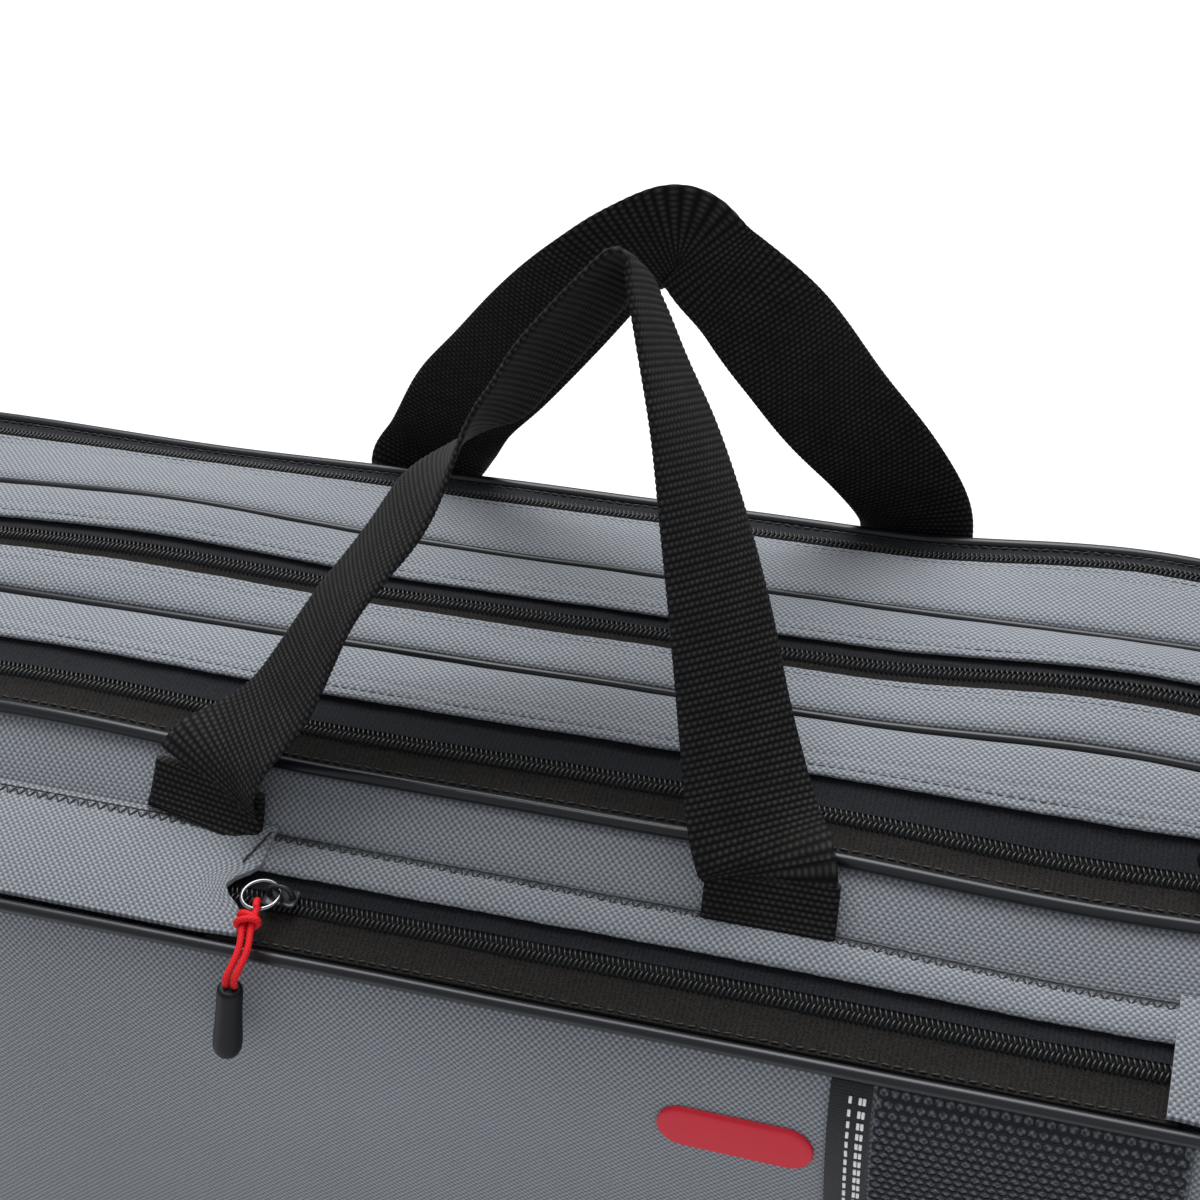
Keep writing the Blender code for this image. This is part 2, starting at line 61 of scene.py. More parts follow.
# %% Camera
TURN, TILT, ROLL = math.radians(18.8), math.radians(39.0), math.radians(3.8)
right = Vector((math.cos(TURN), math.sin(TURN), 0))
level = Vector((-math.sin(TURN), math.cos(TURN), 0))
up = Vector((0, 0, 1))
look = level * math.cos(TILT) - up * math.sin(TILT)
lift = level * math.sin(TILT) + up * math.cos(TILT)
axis_x = right * math.cos(ROLL) - lift * math.sin(ROLL)
axis_y = right * math.sin(ROLL) + lift * math.cos(ROLL)
lens = bpy.data.cameras.new("camera")
lens.lens, lens.sensor_width = 63.9, 36.0
camera = bpy.data.objects.new("camera", lens)
camera.matrix_world = Matrix.Translation((0.176, -0.486, 0.723)) @ Matrix(
    (axis_x, axis_y, -look)).transposed().to_4x4()
bpy.context.scene.collection.objects.link(camera)
bpy.context.scene.camera = camera
print("camera tilted down", round(math.degrees(TILT)), "degrees")

# %% [markdown]
# A pale floor, two soft lights and a pale sky are enough. The large light above gives the piping its long
# glint, the one in front opens the shadows on the pocket, and the sky fills the rest. The view transform
# is Standard, so a colour given to a cloth is the colour that comes out.

# %% Floor and lights
bpy.context.scene.view_settings.view_transform = "Standard"
sky = bpy.data.worlds.new("soft sky")
sky.use_nodes = True
sky.node_tree.nodes["Background"].inputs["Color"].default_value = (0.94, 0.97, 1.0, 1)
sky.node_tree.nodes["Background"].inputs["Strength"].default_value = 0.50
bpy.context.scene.world = sky


def add_light(name, place, target, size, power):
    """A square area light at place that points at target."""
    data = bpy.data.lights.new(name, "AREA")
    data.shape, data.size, data.energy = "SQUARE", size, power
    made = bpy.data.objects.new(name, data)
    made.location = place
    made.rotation_euler = (Vector(target) - Vector(place)).to_track_quat("-Z", "Y").to_euler()
    bpy.context.scene.collection.objects.link(made)


add_light("light above", (-0.3, 0.9, 2.2), (0, 0, 0.2), 1.6, 62)
add_light("light in front", (0.9, -2.0, 1.5), (0, 0, 0.2), 1.4, 3)


def link_mesh(name, points, faces, finish=None):
    mesh = bpy.data.meshes.new(name)
    mesh.from_pydata(points, [], faces)
    if finish:
        mesh.materials.append(finish)
    made = bpy.data.objects.new(name, mesh)
    bpy.context.scene.collection.objects.link(made)
    return made


# %% [markdown]
# ## Finishes
# A finish is a Principled shader with a few nodes in front of it. Two small helpers keep each one short:
# one adds a node and fills its inputs, the other adds a Math node. An input takes a number, a colour or
# another socket.

# %% Helpers for finishes
def node(tree, kind, inputs=None, **settings):
    made = tree.nodes.new(kind)
    for key, value in settings.items():
        setattr(made, key, value)
    for socket, value in (inputs or {}).items():
        if isinstance(value, bpy.types.NodeSocket):
            tree.links.new(value, made.inputs[socket])
        else:
            made.inputs[socket].default_value = value
    return made


def calc(tree, operation, a, b=0.0):
    return node(tree, "ShaderNodeMath", {0: a, 1: b}, operation=operation).outputs[0]


def new_finish(name, colour, roughness, sockets=None):
    """A finish with constant values; sockets holds more of the shader's own sockets."""
    finish = bpy.data.materials.new(name)
    finish.use_nodes = True
    shader = finish.node_tree.nodes["Principled BSDF"]
    shader.inputs["Base Color"].default_value = (*colour, 1)
    shader.inputs["Roughness"].default_value = roughness
    for socket, value in (sockets or {}).items():
        shader.inputs[socket].default_value = value
    return finish, finish.node_tree, shader


def mix(tree, amount, first, second):
    """A colour between first and second."""
    made = node(tree, "ShaderNodeMix", {"Factor": amount}, data_type="RGBA")
    for socket, value in ((6, first), (7, second)):
        if isinstance(value, bpy.types.NodeSocket):
            tree.links.new(value, made.inputs[socket])
        else:
            made.inputs[socket].default_value = (*value, 1)
    return made.outputs[2]


def ranged(tree, value, low, high, to_low=0.0, to_high=1.0):
    """value, moved from the range low to high to the other range."""
    return node(tree, "ShaderNodeMapRange", {0: value, 1: low, 2: high, 3: to_low, 4: to_high}).outputs[0]


def paint(tree, shader, amount, first, second):
    tree.links.new(mix(tree, amount, first, second), shader.inputs["Base Color"])


def cloth_axes(tree):
    """Where a point is on its cloth, across and along the threads, in metres."""
    place = node(tree, "ShaderNodeUVMap", uv_map="metres")
    parts = node(tree, "ShaderNodeSeparateXYZ", {0: place.outputs[0]})
    return parts.outputs[0], parts.outputs[1]


def cells(tree, across, along, pitch_across, pitch_along):
    """Plus and minus one in turn, like the squares of a chessboard, with soft borders."""
    waves = [calc(tree, "SINE", calc(tree, "MULTIPLY", place, math.pi / pitch))
             for place, pitch in ((across, pitch_across), (along, pitch_along))]
    return calc(tree, "MULTIPLY", *waves)


def blotches(tree, scale, detail=3.0):
    """Slow changes of shade over the whole piece."""
    place = node(tree, "ShaderNodeTexCoord")
    return node(tree, "ShaderNodeTexNoise",
                {"Vector": place.outputs["Object"], "Scale": scale, "Detail": detail}).outputs["Fac"]


def set_bump(tree, shader, height, distance, strength=1.0):
    bump = node(tree, "ShaderNodeBump", {"Height": height, "Distance": distance, "Strength": strength})
    tree.links.new(bump.outputs[0], shader.inputs["Normal"])


# %% [markdown]
# ## The shape of the top
# The top of the bag is soft: it falls away to the front and to the back, and it rises and dips by a few
# millimetres where the zips pull on it. One function holds all of that, and every piece of the body is
# sent through it, so neighbours always move together and no gap opens between them.

# %% Settle a point
def between(node_name, axis):
    low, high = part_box(node_name)
    return (low[axis] + high[axis]) / 2


HALF_LENGTH, _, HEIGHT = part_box("gusset_middle")[1]
FRONT_DIVIDER_Y = between("piping_divider_front", 1)
FRONT_FALL, REAR_FALL = 1.57, 1.90

# y, then how far the top stands up left and right of the handles, in mm
WAVES = [(-0.1312, 0, 0), (-0.0975, 0, -4), (-0.0785, 4.5, -3), (-0.0645, 4.5, -4), (-0.0275, 0, 4),
         (-0.0015, 4, 6.5), (0.0280, 4, 1), (0.0650, -0.5, 7), (0.0795, -2, 6)]
LEFT_WAVE_X, LEFT_REACH = -0.150, 0.100
RIGHT_WAVE_X, RIGHT_REACH = 0.170, 0.080
SOFT_DEPTH = 0.060


def fall(y):
    if y < FRONT_DIVIDER_Y:
        return FRONT_FALL * (y - FRONT_DIVIDER_Y) ** 2
    return REAR_FALL * y * y if y > 0 else 0.0


def hump(distance, reach):
    return math.cos(math.pi / 2 * min(1.0, abs(distance) / reach)) ** 2


def wave(x, y):
    left = right_side = 0.0
    if WAVES[0][0] < y <= WAVES[-1][0]:
        for (y0, l0, r0), (y1, l1, r1) in zip(WAVES, WAVES[1:]):
            if y0 <= y <= y1:
                t = (y - y0) / (y1 - y0)
                left, right_side = l0 + (l1 - l0) * t, r0 + (r1 - r0) * t
    elif y > WAVES[-1][0]:
        left, right_side = WAVES[-1][1:]
    ripple = 0.5 * noise.noise(Vector((x * 22, y * 30, 3.1))) * hump(x, 0.25)
    return MM * (left * hump(x - LEFT_WAVE_X, LEFT_REACH) + right_side * hump(x - RIGHT_WAVE_X, RIGHT_REACH)
                 + ripple)


def settle(x, y, z):
    """A point of the body, given as if the top were flat, at its real place."""
    near_top = min(1.0, max(0.0, (z - HEIGHT + SOFT_DEPTH) / SOFT_DEPTH))
    return Vector((x, y, z - fall(y) * max(0.0, z) / HEIGHT + wave(x, y) * near_top ** 2))


def flat_height(y, z):
    """The height that settle() takes to z, without the waves."""
    return z / (1 - fall(y) / HEIGHT)


print("top", round(HEIGHT, 4), "half length", round(HALF_LENGTH, 4))

# %% [markdown]
# ## Skins
# Cloth, tape and cord are all skins over rows of points. skin() joins the rows with faces, closes the
# ends, turns the faces outwards and writes a UV map in metres. A UV map in metres lets one weave have the
# same thread size on every piece, however big the piece is.

# %% Make a skin
def skin(name, rows, uv, finish, round_rows=False, crease=50):
    """rows of equal length, joined in order; uv(row, column) gives the place on the cloth."""
    count, width = len(rows), len(rows[0])
    faces, corners = [], []
    for i in range(count if round_rows else count - 1):
        for j in range(width):
            square = ((i, j), (i, j + 1), (i + 1, j + 1), (i + 1, j))
            faces.append([(a % count) * width + b % width for a, b in square])
            corners.append([uv(a, b) for a, b in square])
    if not round_rows:
        for i in (0, count - 1):
            for j in range(width // 2 - 1):
                square = (j, j + 1, width - 2 - j, width - 1 - j)
                faces.append([i * width + b for b in square])
                corners.append([uv(i, b) for b in square])
    made = link_mesh(name, [p for row in rows for p in row], faces, finish)
    layer = made.data.uv_layers.new(name="metres")
    layer.data.foreach_set("uv", [value for face in corners for place in face for value in place])
    tidy_faces(made.data, crease)
    return made


def tidy_faces(mesh, crease):
    """Turn the faces outwards and shade them smooth, with sharp edges over that angle."""
    work = bmesh.new()
    work.from_mesh(mesh)
    bmesh.ops.recalc_face_normals(work, faces=work.faces)
    work.to_mesh(mesh)
    work.free()
    mesh.shade_smooth()
    mesh.set_sharp_from_angle(angle=math.radians(crease))


def lengths(points):
    """The distance along a row of points at each of them."""
    total, result = 0.0, [0.0]
    for a, b in zip(points, points[1:]):
        total += (Vector(b) - Vector(a)).length
        result.append(total)
    return result


def circle(count, start=0.5):
    """Cosine and sine at even steps round a circle."""
    return [(math.cos(a), math.sin(a)) for a in (2 * math.pi * (k + start) / count for k in range(count))]


def place_piece(piece, body, slot, *nodes):
    """The piece rides on its body and stands for those nodes, which it hides. Its slot is not used."""
    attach(piece, body)
    if nodes:
        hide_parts(*nodes)
    print(piece.name, len(piece.data.polygons), "faces on", body)
    return piece


def smooth_route(points, pieces):
    """Catmull-Rom curve through the points, with that many pieces between two of them."""
    padded = [2 * points[0] - points[1]] + points + [2 * points[-1] - points[-2]]
    route = []
    for i in range(1, len(padded) - 2):
        p0, p1, p2, p3 = padded[i - 1:i + 3]
        for k in range(pieces):
            t = k / pieces
            route.append(0.5 * (2 * p1 + (p2 - p0) * t + (2 * p0 - 5 * p1 + 4 * p2 - p3) * t ** 2
                                + (3 * p1 - p0 - 3 * p2 + p3) * t ** 3))
    route.append(points[-1].copy())
    return route


def tube(name, path, radius, finish, sides=12, closed=False, guide=None):
    """A round tube along the path; radius is a number or a function of the place from 0 to 1."""
    count, rows = len(path), []
    side = Vector(guide or (0, 1, 0))
    for i, here in enumerate(path):
        after = path[(i + 1) % count] if closed else path[min(i + 1, count - 1)]
        before = path[i - 1] if closed or i else path[0]
        along = (after - before).normalized()
        side = (side - along * side.dot(along)).normalized()
        other = along.cross(side)
        size = radius(i / (count - 1)) if callable(radius) else radius
        rows.append([here + size * (side * c + other * s) for c, s in circle(sides)])
    run = lengths(path + [path[0]])
    girth = 2 * math.pi * (radius(0.5) if callable(radius) else radius)
    return skin(name, rows, lambda i, j: (girth * j / sides, run[i]), finish, round_rows=closed)

# %% [markdown]
# ## Cords of the zip pulls
# Each slider has a wire ring, and a red braided cord is looped through it. Both ends of the cord go into
# a moulded sleeve. A cord has a fixed length, so it is a tube along a measured route and not a bent box:
# out of the sleeve, round the ring wire and back. The braid is a pattern on the cord's own UV map, turned
# by 45 degrees.

# %% Finishes of cord, sleeve and wire
cord_red, tree, shader = new_finish("red braided cord", (0.83, 0.004, 0.010), 0.62,
                                    {"Specular IOR Level": 0.3})
across, along = cloth_axes(tree)
BRAID = 1.05 * MM
strands = cells(tree, calc(tree, "ADD", across, along), calc(tree, "SUBTRACT", across, along), BRAID, BRAID)
paint(tree, shader, calc(tree, "ABSOLUTE", strands), (0.50, 0.002, 0.006), (0.90, 0.006, 0.014))
set_bump(tree, shader, calc(tree, "ABSOLUTE", strands), 0.12 * MM, 0.8)

sleeve_black, tree, shader = new_finish("moulded sleeve", (0.0016, 0.0019, 0.0034), 0.5,
                                        {"Specular IOR Level": 0.22})
set_bump(tree, shader, blotches(tree, 2600, 1.0), 0.05 * MM, 0.5)

wire_bright, tree, shader = new_finish("nickel wire", (0.26, 0.26, 0.27), 0.24, {"Metallic": 1.0})
set_bump(tree, shader, blotches(tree, 900), 0.03 * MM, 0.4)

slider_black, tree, shader = new_finish("lacquered slider", (0.030, 0.031, 0.036), 0.30,
                                        {"Metallic": 0.85, "Coat Weight": 0.4, "Coat Roughness": 0.15})
tree.links.new(calc(tree, "MULTIPLY_ADD", blotches(tree, 700), 0.18), shader.inputs["Roughness"])
set_bump(tree, shader, blotches(tree, 1500), 0.02 * MM, 0.3)
print("finishes for the pulls are ready")

# %% [markdown]
# The slider is a plate with a pinched waist that runs over the teeth, and an arch on top that holds the
# ring. The plate is a skin over cross-sections: its half width is a list along its length.

# %% Slider
SLIDER_LENGTH = 10 * MM
# place along the slider from 0 to 1, half width in mm, thickness in mm
SLIDER_SHAPE = [(0.0, 2.6, 0.35), (0.04, 3.6, 0.8), (0.16, 4.15, 1.0), (0.34, 4.1, 1.05), (0.52, 3.2, 1.05),
                (0.68, 3.1, 1.05), (0.84, 3.45, 1.0), (0.96, 3.2, 0.8), (1.0, 2.5, 0.35)]
ARCH = [(-3.7, 0.9), (-3.5, 2.6), (-2.9, 4.2), (-1.6, 5.1), (0.0, 5.3), (1.6, 5.1), (2.9, 4.2), (3.5, 2.6),
        (3.7, 0.9)]
PLATE_LIFT, PLATE_DROP = 0.85, 0.4
SQUARE_ACROSS, SQUARE_UP = 0.35, 0.6     # below 1, these powers make the section squarer than an ellipse


def make_slider(place):
    low, high = (Vector(corner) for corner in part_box(f"slider_{place}"))
    x, y, z = (low.x + high.x) / 2, (low.y + high.y) / 2, low.z - PLATE_DROP * MM
    rows = []
    for t, half, thick in SLIDER_SHAPE:
        rows.append([Vector((x + (t - 0.5) * SLIDER_LENGTH,
                             y + MM * half * math.copysign(abs(c) ** SQUARE_ACROSS, c),
                             z + MM * (PLATE_LIFT + thick / 2 * math.copysign(abs(s) ** SQUARE_UP, s))))
                     for c, s in circle(16)])
    plate = skin(f"slider_body_{place}", rows, lambda i, j: (j * MM, i * MM), slider_black)
    path = smooth_route([Vector((x + MM * a, y, z + MM * b)) for a, b in ARCH], 4)
    arch = tube(f"slider_arch_{place}", path, lambda t: MM * (1.05 - 0.35 * math.sin(math.pi * t)),
                slider_black)
    for piece in (plate, arch):
        place_piece(piece, f"slider_{place}", "slider_metal", f"slider_{place}")


for place in ("front", "middle", "rear", "pocket"):
    make_slider(place)

# %% [markdown]
# The cord's route is built round the point where it holds the ring. Two runs lie side by side, a cord's
# width apart, and half a turn goes round the wire. Just outside the ring, two slanted bands pull the runs
# together: that is the knot. It is its own piece, because a cord may not pass through itself.

# %% Ring, cord, knot and sleeve
CORD_RADIUS = 1.0 * MM
WIRE_RADIUS = 0.8 * MM
CORD_GAP, RUN_GAP, MOUTH_GAP = 0.3 * MM, 0.25 * MM, 0.4 * MM
KNOT_WIDTH, KNOT_HEIGHT = 3.0, 1.95
WIRE_SLIMMER = 0.78     # the wire drawn over the wire of the CAD model
POCKET_CORD_TURN, MAIN_CORD_TURN = math.radians(275), math.radians(180)
SLEEVE_TOP, SLEEVE_END = 3.7, 4.3
# distance from the mouth and radius, in mm
SLEEVE_PROFILE = [(0.0, 2.6), (0.15, 3.2), (0.7, 3.62), (1.6, SLEEVE_TOP), (8.0, 3.75), (14.0, 3.95),
                  (19.0, 4.2),
                  (22.5, SLEEVE_END), (24.6, 4.15), (26.3, 3.45), (27.4, 2.3), (28.0, 0.6)]


def knot_band(name, centre, away, side, high, tilt):
    """One turn of cord round both runs."""
    path = [centre + side * (MM * KNOT_WIDTH * c) + high * (MM * KNOT_HEIGHT * s) + away * (MM * tilt * c)
            for c, s in circle(28, 0)]
    return tube(name, path, CORD_RADIUS * 0.98, cord_red, 10, closed=True, guide=away)


def make_pull(place):
    on_pocket = place == "pocket"
    low, high = (Vector(corner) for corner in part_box(f"pull_ring_{place}"))
    ring_centre = (low + high) / 2
    ring_radius = (high.x - low.x) / 2 - WIRE_RADIUS
    turn = POCKET_CORD_TURN if on_pocket else MAIN_CORD_TURN
    away, over = Vector((math.cos(turn), math.sin(turn), 0)), Vector((0, 0, 1))
    side = Vector((-away.y, away.x, 0))
    hold = ring_centre + away * ring_radius
    if on_pocket:
        mouth = hold + MM * Vector((0, -21.0, -9.7))
        along = Vector((-0.17, -0.09, -1.0)).normalized()
        bends = [mouth - along * MOUTH_GAP, mouth - along * 3.6 * MM, hold + MM * Vector((1.8, -13.5, -2.2)),
                 hold + MM * (away * 6.8 + over * 0.4)]
    else:
        along = away
        mouth = hold + MM * (away * 15 + over * (SLEEVE_END - 2.3))
        bends = [mouth - along * MOUTH_GAP, mouth - along * 4.0 * MM, hold + MM * (away * 6.5 + over * 1.8)]
    spread = CORD_RADIUS + RUN_GAP
    clear = WIRE_RADIUS + CORD_RADIUS + 2 * CORD_GAP
    round_wire = []
    for k in range(9):
        angle = math.radians(40 + 35 * k)
        round_wire.append(hold + away * (clear * math.cos(angle)) + over * (clear * math.sin(angle))
                          + side * spread * (1 - k / 4))
    points = [p + side * spread for p in bends] + round_wire + [p - side * spread for p in reversed(bends)]
    route = smooth_route(points, 6)

    body = f"pull_{place}"
    ring_path = [ring_centre + ring_radius * Vector((c, s, 0)) for c, s in circle(48, 0)]
    ring = tube(f"ring_{place}", ring_path, WIRE_RADIUS * WIRE_SLIMMER, wire_bright, closed=True, guide=over)
    place_piece(ring, f"slider_{place}" if on_pocket else body, "ring_wire", f"pull_ring_{place}")

    cord = tube(f"cord_{place}", route, CORD_RADIUS, cord_red, guide=side)
    place_piece(cord, body, "pull_cord", f"pull_cord_{place}")
    knots = []
    for k, (reach, tilt) in enumerate(((4.6, 0.9), (6.3, -0.7))):
        middle = hold + MM * (away * reach + over * (0.9 if on_pocket else 1.4))
        knots.append(knot_band(f"knot_{place}_{k}", middle, away, side, over, tilt))
        place_piece(knots[-1], body, "pull_cord")

    cross = along.orthogonal().normalized()
    other = along.cross(cross)
    rows = [[mouth + along * d * MM + r * MM * (cross * c + other * s) for c, s in circle(24)]
            for d, r in SLEEVE_PROFILE]
    sleeve = skin(f"sleeve_{place}", rows, lambda i, j: (MM * j, MM * SLEEVE_PROFILE[i][0]), sleeve_black)
    place_piece(sleeve, body, "pull_sleeve", f"pull_sleeve_{place}")
    length = lengths(route)[-1]
    print(place, "cord", round(1000 * length, 1), "mm")


for place in ("front", "middle", "rear", "pocket"):
    make_pull(place)

# %% [markdown]
# ## Grey woven cloth
# The outer cloth is a plain weave of thick polyester yarn, one thread to the millimetre both ways. Where
# a thread passes over its neighbour it catches light, so the cloth looks like a fine chessboard. We
# multiply two sine waves that run along the UV map: the sign says which thread is on top, and the size of
# the product is the height of its back. Both threads are the same grey, so the dark and bright squares
# of colour are painted shade and painted highlight, while the height drives the bump. Slow noise adds the
# uneven shade of real yarn.

# %% Finish of the grey cloth
THREAD = 1.0 * MM


def make_cloth(name, dark, bright, pitch, relief, roughness=0.85):
    finish, tree, shader = new_finish(name, bright, roughness, {
        "Sheen Weight": 0.25, "Sheen Roughness": 0.5, "Specular IOR Level": 0.25})
    across, along = cloth_axes(tree)
    uneven = calc(tree, "MULTIPLY", blotches(tree, 380, 2.0), 0.9 * MM)
    check = cells(tree, calc(tree, "ADD", across, uneven), along, pitch, pitch)
    # painted shade and painted highlight: squares with the weft on top get the dark colour and squares with
    # the warp on top the bright one, though both threads are one grey
    painted_weave_light = mix(tree, ranged(tree, check, -0.7, 0.8), dark, bright)
    shade = ranged(tree, blotches(tree, 9.0), 0.2, 0.8, 0.90, 1.10)
    tinted = node(tree, "ShaderNodeVectorMath", {0: painted_weave_light, 3: shade}, operation="SCALE")
    tree.links.new(tinted.outputs[0], shader.inputs["Base Color"])
    back = calc(tree, "POWER", calc(tree, "ABSOLUTE", check), 0.6)
    set_bump(tree, shader, back, relief, 0.9)
    return finish


# the dark colour is the painted shade and the bright colour the painted highlight of the weave
grey = make_cloth("grey woven cloth", (0.104, 0.114, 0.129), (0.322, 0.342, 0.378), THREAD, 0.23 * MM)
print("thread", THREAD * 1000, "mm")

# %% [markdown]
# ## Padded panels
# The front and back of the bag and the face of the pocket are padded, so each one swells out from its
# seam. We take the outline of the panel and step inwards: every ring of the outline stands a little
# prouder than the last, fast at first and then hardly at all. Low waves of noise keep the big face from
# looking like a plate.

# %% Outlines and padded panels
ROUND_STEPS = 7
HALF_TOP_STEPS, END_STEPS = 50, 36
BULGE_REACH, CALM_REACH = 10 * MM, 0.03
PANEL_EDGE = 4.5 * MM
TOP_RADIUS, BOTTOM_RADIUS, LEAST_RADIUS = 0.055, 0.035, 0.002
PANEL_INSETS = [0.0, 0.8, 1.8, 3.0, 4.5, 6.5, 9.0, 12.0, 16.0, 21.0, 28.0, 38.0, 52.0, 70.0, 92.0, 112.0,
                124.0]


def rounded(half_length, top, bottom, top_radius, bottom_radius):
    """Points and outward directions round a rounded rectangle in X and Z, clockwise from its top middle."""
    turns = []
    for cx, cz, radius, start in (
            (half_length - top_radius, top - top_radius, top_radius, 90),
            (half_length - bottom_radius, bottom + bottom_radius, bottom_radius, 0),
            (-half_length + bottom_radius, bottom + bottom_radius, bottom_radius, -90),
            (-half_length + top_radius, top - top_radius, top_radius, -180)):
        turns.append([(cx + radius * math.cos(a), cz + radius * math.sin(a), math.cos(a), math.sin(a))
                      for a in (math.radians(start - 90 * k / ROUND_STEPS) for k in range(ROUND_STEPS + 1))])
    middle = (0.0, top, 0.0, 1.0)
    stops = [middle] + [p for turn in turns for p in (turn[0], turn[-1])] + [middle]
    counts = [HALF_TOP_STEPS, END_STEPS, 2 * HALF_TOP_STEPS, END_STEPS, HALF_TOP_STEPS]
    ring = []
    for k, count in enumerate(counts):
        start, end = stops[2 * k], stops[2 * k + 1]
        ring += [tuple(a + (b - a) * i / count for a, b in zip(start, end)) for i in range(count)]
        ring += turns[k][:-1] if k < 4 else []
    return ring


def body_outline(inset):
    return rounded(HALF_LENGTH - inset, HEIGHT - inset, inset, max(TOP_RADIUS - inset, LEAST_RADIUS),
                   max(BOTTOM_RADIUS - inset, LEAST_RADIUS))


def bulge(inset, height):
    return height * (1 - math.exp(-inset / BULGE_REACH))


def softness(x, z, y_edge, inset, swell):
    """Low waves of a padded panel, which die out at its seam and in its middle."""
    last = MM * PANEL_INSETS[-1]
    calm = min(1.0, inset / CALM_REACH) * (1 - (inset / last) ** 6) if inset < last else 0.0
    return MM * swell * noise.noise(Vector((x * 9, z * 11, y_edge * 40))) * calm


def padded_panel(name, at_inset, edge, y_edge, outward, thickness, height, finish, swell=1.2):
    """Rings of the outline, each prouder than the last; at_inset(inset) gives a ring."""
    insets = [MM * inset for inset in PANEL_INSETS]
    surface = lengths([(inset, bulge(inset, height)) for inset in insets])
    seam = at_inset(edge)
    half, low, top = max(p[0] for p in seam), min(p[1] for p in seam), max(p[1] for p in seam)

    def pushed(value, middle, reach):
        """The cloth is longer than its outline, so its pattern starts further out at the seam."""
        inset = reach - abs(value - middle)
        k = max(1, min(len(insets) - 1, bisect.bisect_left(insets, inset)))
        t = max(0.0, min(1.0, (inset - insets[k - 1]) / (insets[k] - insets[k - 1])))
        run = surface[k - 1] + t * (surface[k] - surface[k - 1])
        slack = (surface[-1] - insets[-1]) - (run - (insets[k - 1] + t * (insets[k] - insets[k - 1])))
        return value + math.copysign(slack, value - middle)

    outer, inner, places = [], [], []
    for inset in insets:
        ring = at_inset(edge + inset)
        outer_row, inner_row, place_row = [], [], []
        for x, z, _, _ in ring:
            rise = outward * (bulge(inset, height) + softness(x, z, y_edge, inset, swell))
            outer_row.append(settle(x, y_edge + rise, z))
            inner_row.append(settle(x, y_edge + rise - outward * thickness, z))
            place_row.append((pushed(x, 0.0, half), pushed(z, (low + top) / 2, (top - low) / 2)))
        outer.append(outer_row)
        inner.append(inner_row)
        places.append(place_row + [place_row[0]])
    rows = outer[::-1] + inner
    order = places[::-1] + places
    return skin(name, rows, lambda i, j: order[i][j], finish)


WALL, FRONT_BULGE, BACK_BULGE = 3 * MM, 26 * MM, 8 * MM
FRONT_SEAM_Y = between("piping_front", 1) + 0.5 * MM
BACK_SEAM_Y = between("piping_back", 1) - 0.5 * MM
front_panel = padded_panel("cloth_front_panel", body_outline, PANEL_EDGE, FRONT_SEAM_Y - WALL / 2, -1, WALL,
                           FRONT_BULGE, grey)
back_panel = padded_panel("cloth_back_panel", body_outline, PANEL_EDGE, BACK_SEAM_Y + WALL / 2, 1, WALL,
                          BACK_BULGE, grey, swell=3.0)
for piece, node_name in ((front_panel, "front_panel"), (back_panel, "back_panel")):
    place_piece(piece, "bag", "grey_fabric", node_name)

# %% [markdown]
# ## Gusset bands
# Each compartment has a band of cloth round its ends and bottom. It follows the outline of the panels,
# and soft cloth between two seams stands out a little. At the top it laps over the ends of the zip, so
# its last few millimetres are lifted over the strips that lie there.

# %% Gussets
BAND = 1.6 * MM
PILLOW = 1.3 * MM
LAP_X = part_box("top_strip_front")[1][0] - 4 * MM
BAND_STEPS = 14
LAP_REACH, LAP_LIFT = 0.016, 1.5 * MM
LAP_STEPS = (0, 2, 5, 9)     # mm from the open edge of the lap


def gusset(name, ring, y_low_at, y_high_at, lap_left, lap_right, pillow, lap_lift=LAP_LIFT, bite=None):
    """ring is the outline without its open top; y_low_at(x, z) and y_high_at(x, z) are the band's edges."""
    path = lengths([(x, z) for x, z, _, _ in ring])
    rows, places = [], []
    for (x, z, nx, nz), run in zip(ring, path):
        low, high = y_low_at(x, z), y_high_at(x, z)
        near_end = max(0.0, 1 - min(abs(x - lap_left), abs(x - lap_right)) / LAP_REACH) if nz > 0.9 else 0.0
        lap = lap_lift * near_end ** 2 * (3 - 2 * near_end)
        outer, inner, place = [], [], []
        for k in range(BAND_STEPS):
            t = k / (BAND_STEPS - 1)
            y = low + (high - low) * t
            off_middle = abs(2 * t - 1)
            proud = pillow * (1 - off_middle ** 3) * min(1.0, 1 + nz)
            uneven = noise.noise(Vector((x * 16, y * 25, z * 16)))
            proud += 0.8 * MM * uneven * (1 - abs(nz)) * (1 - off_middle)
            proud += lap
            pull = bite(y) * max(0.0, 1 - abs(x - lap_left) / LAP_REACH) if bite and nz > 0.9 else 0.0
            outer.append(settle(x + nx * proud - pull, y, z + nz * proud))
            inner.append(settle(x + nx * (proud - BAND) - pull, y, z + nz * (proud - BAND)))
            place.append((y, run))
        rows.append(outer + inner[::-1])
        places.append(place + place[::-1] + [place[0]])
    return skin(name, rows, lambda i, j: places[i][j], grey)


def open_ring(ring, left, right):
    """The outline from right on its top, round the bottom, to left on its top."""
    top = ring[0][1]
    kept = [p for p in ring if not (p[3] > 0.99 and left < p[0] < right)]
    ends = [right + MM * k for k in LAP_STEPS], [left - MM * k for k in reversed(LAP_STEPS)]
    first = [p for p in kept if p[0] > 0 and p[0] > right + 12 * MM or p[1] < top - MM and p[0] > 0]
    last = [p for p in kept if p[0] <= 0 and (p[0] < left - 12 * MM or p[1] < top - MM)]
    return [(x, top, 0.0, 1.0) for x in ends[0]] + first + last + [(x, top, 0.0, 1.0) for x in ends[1]]


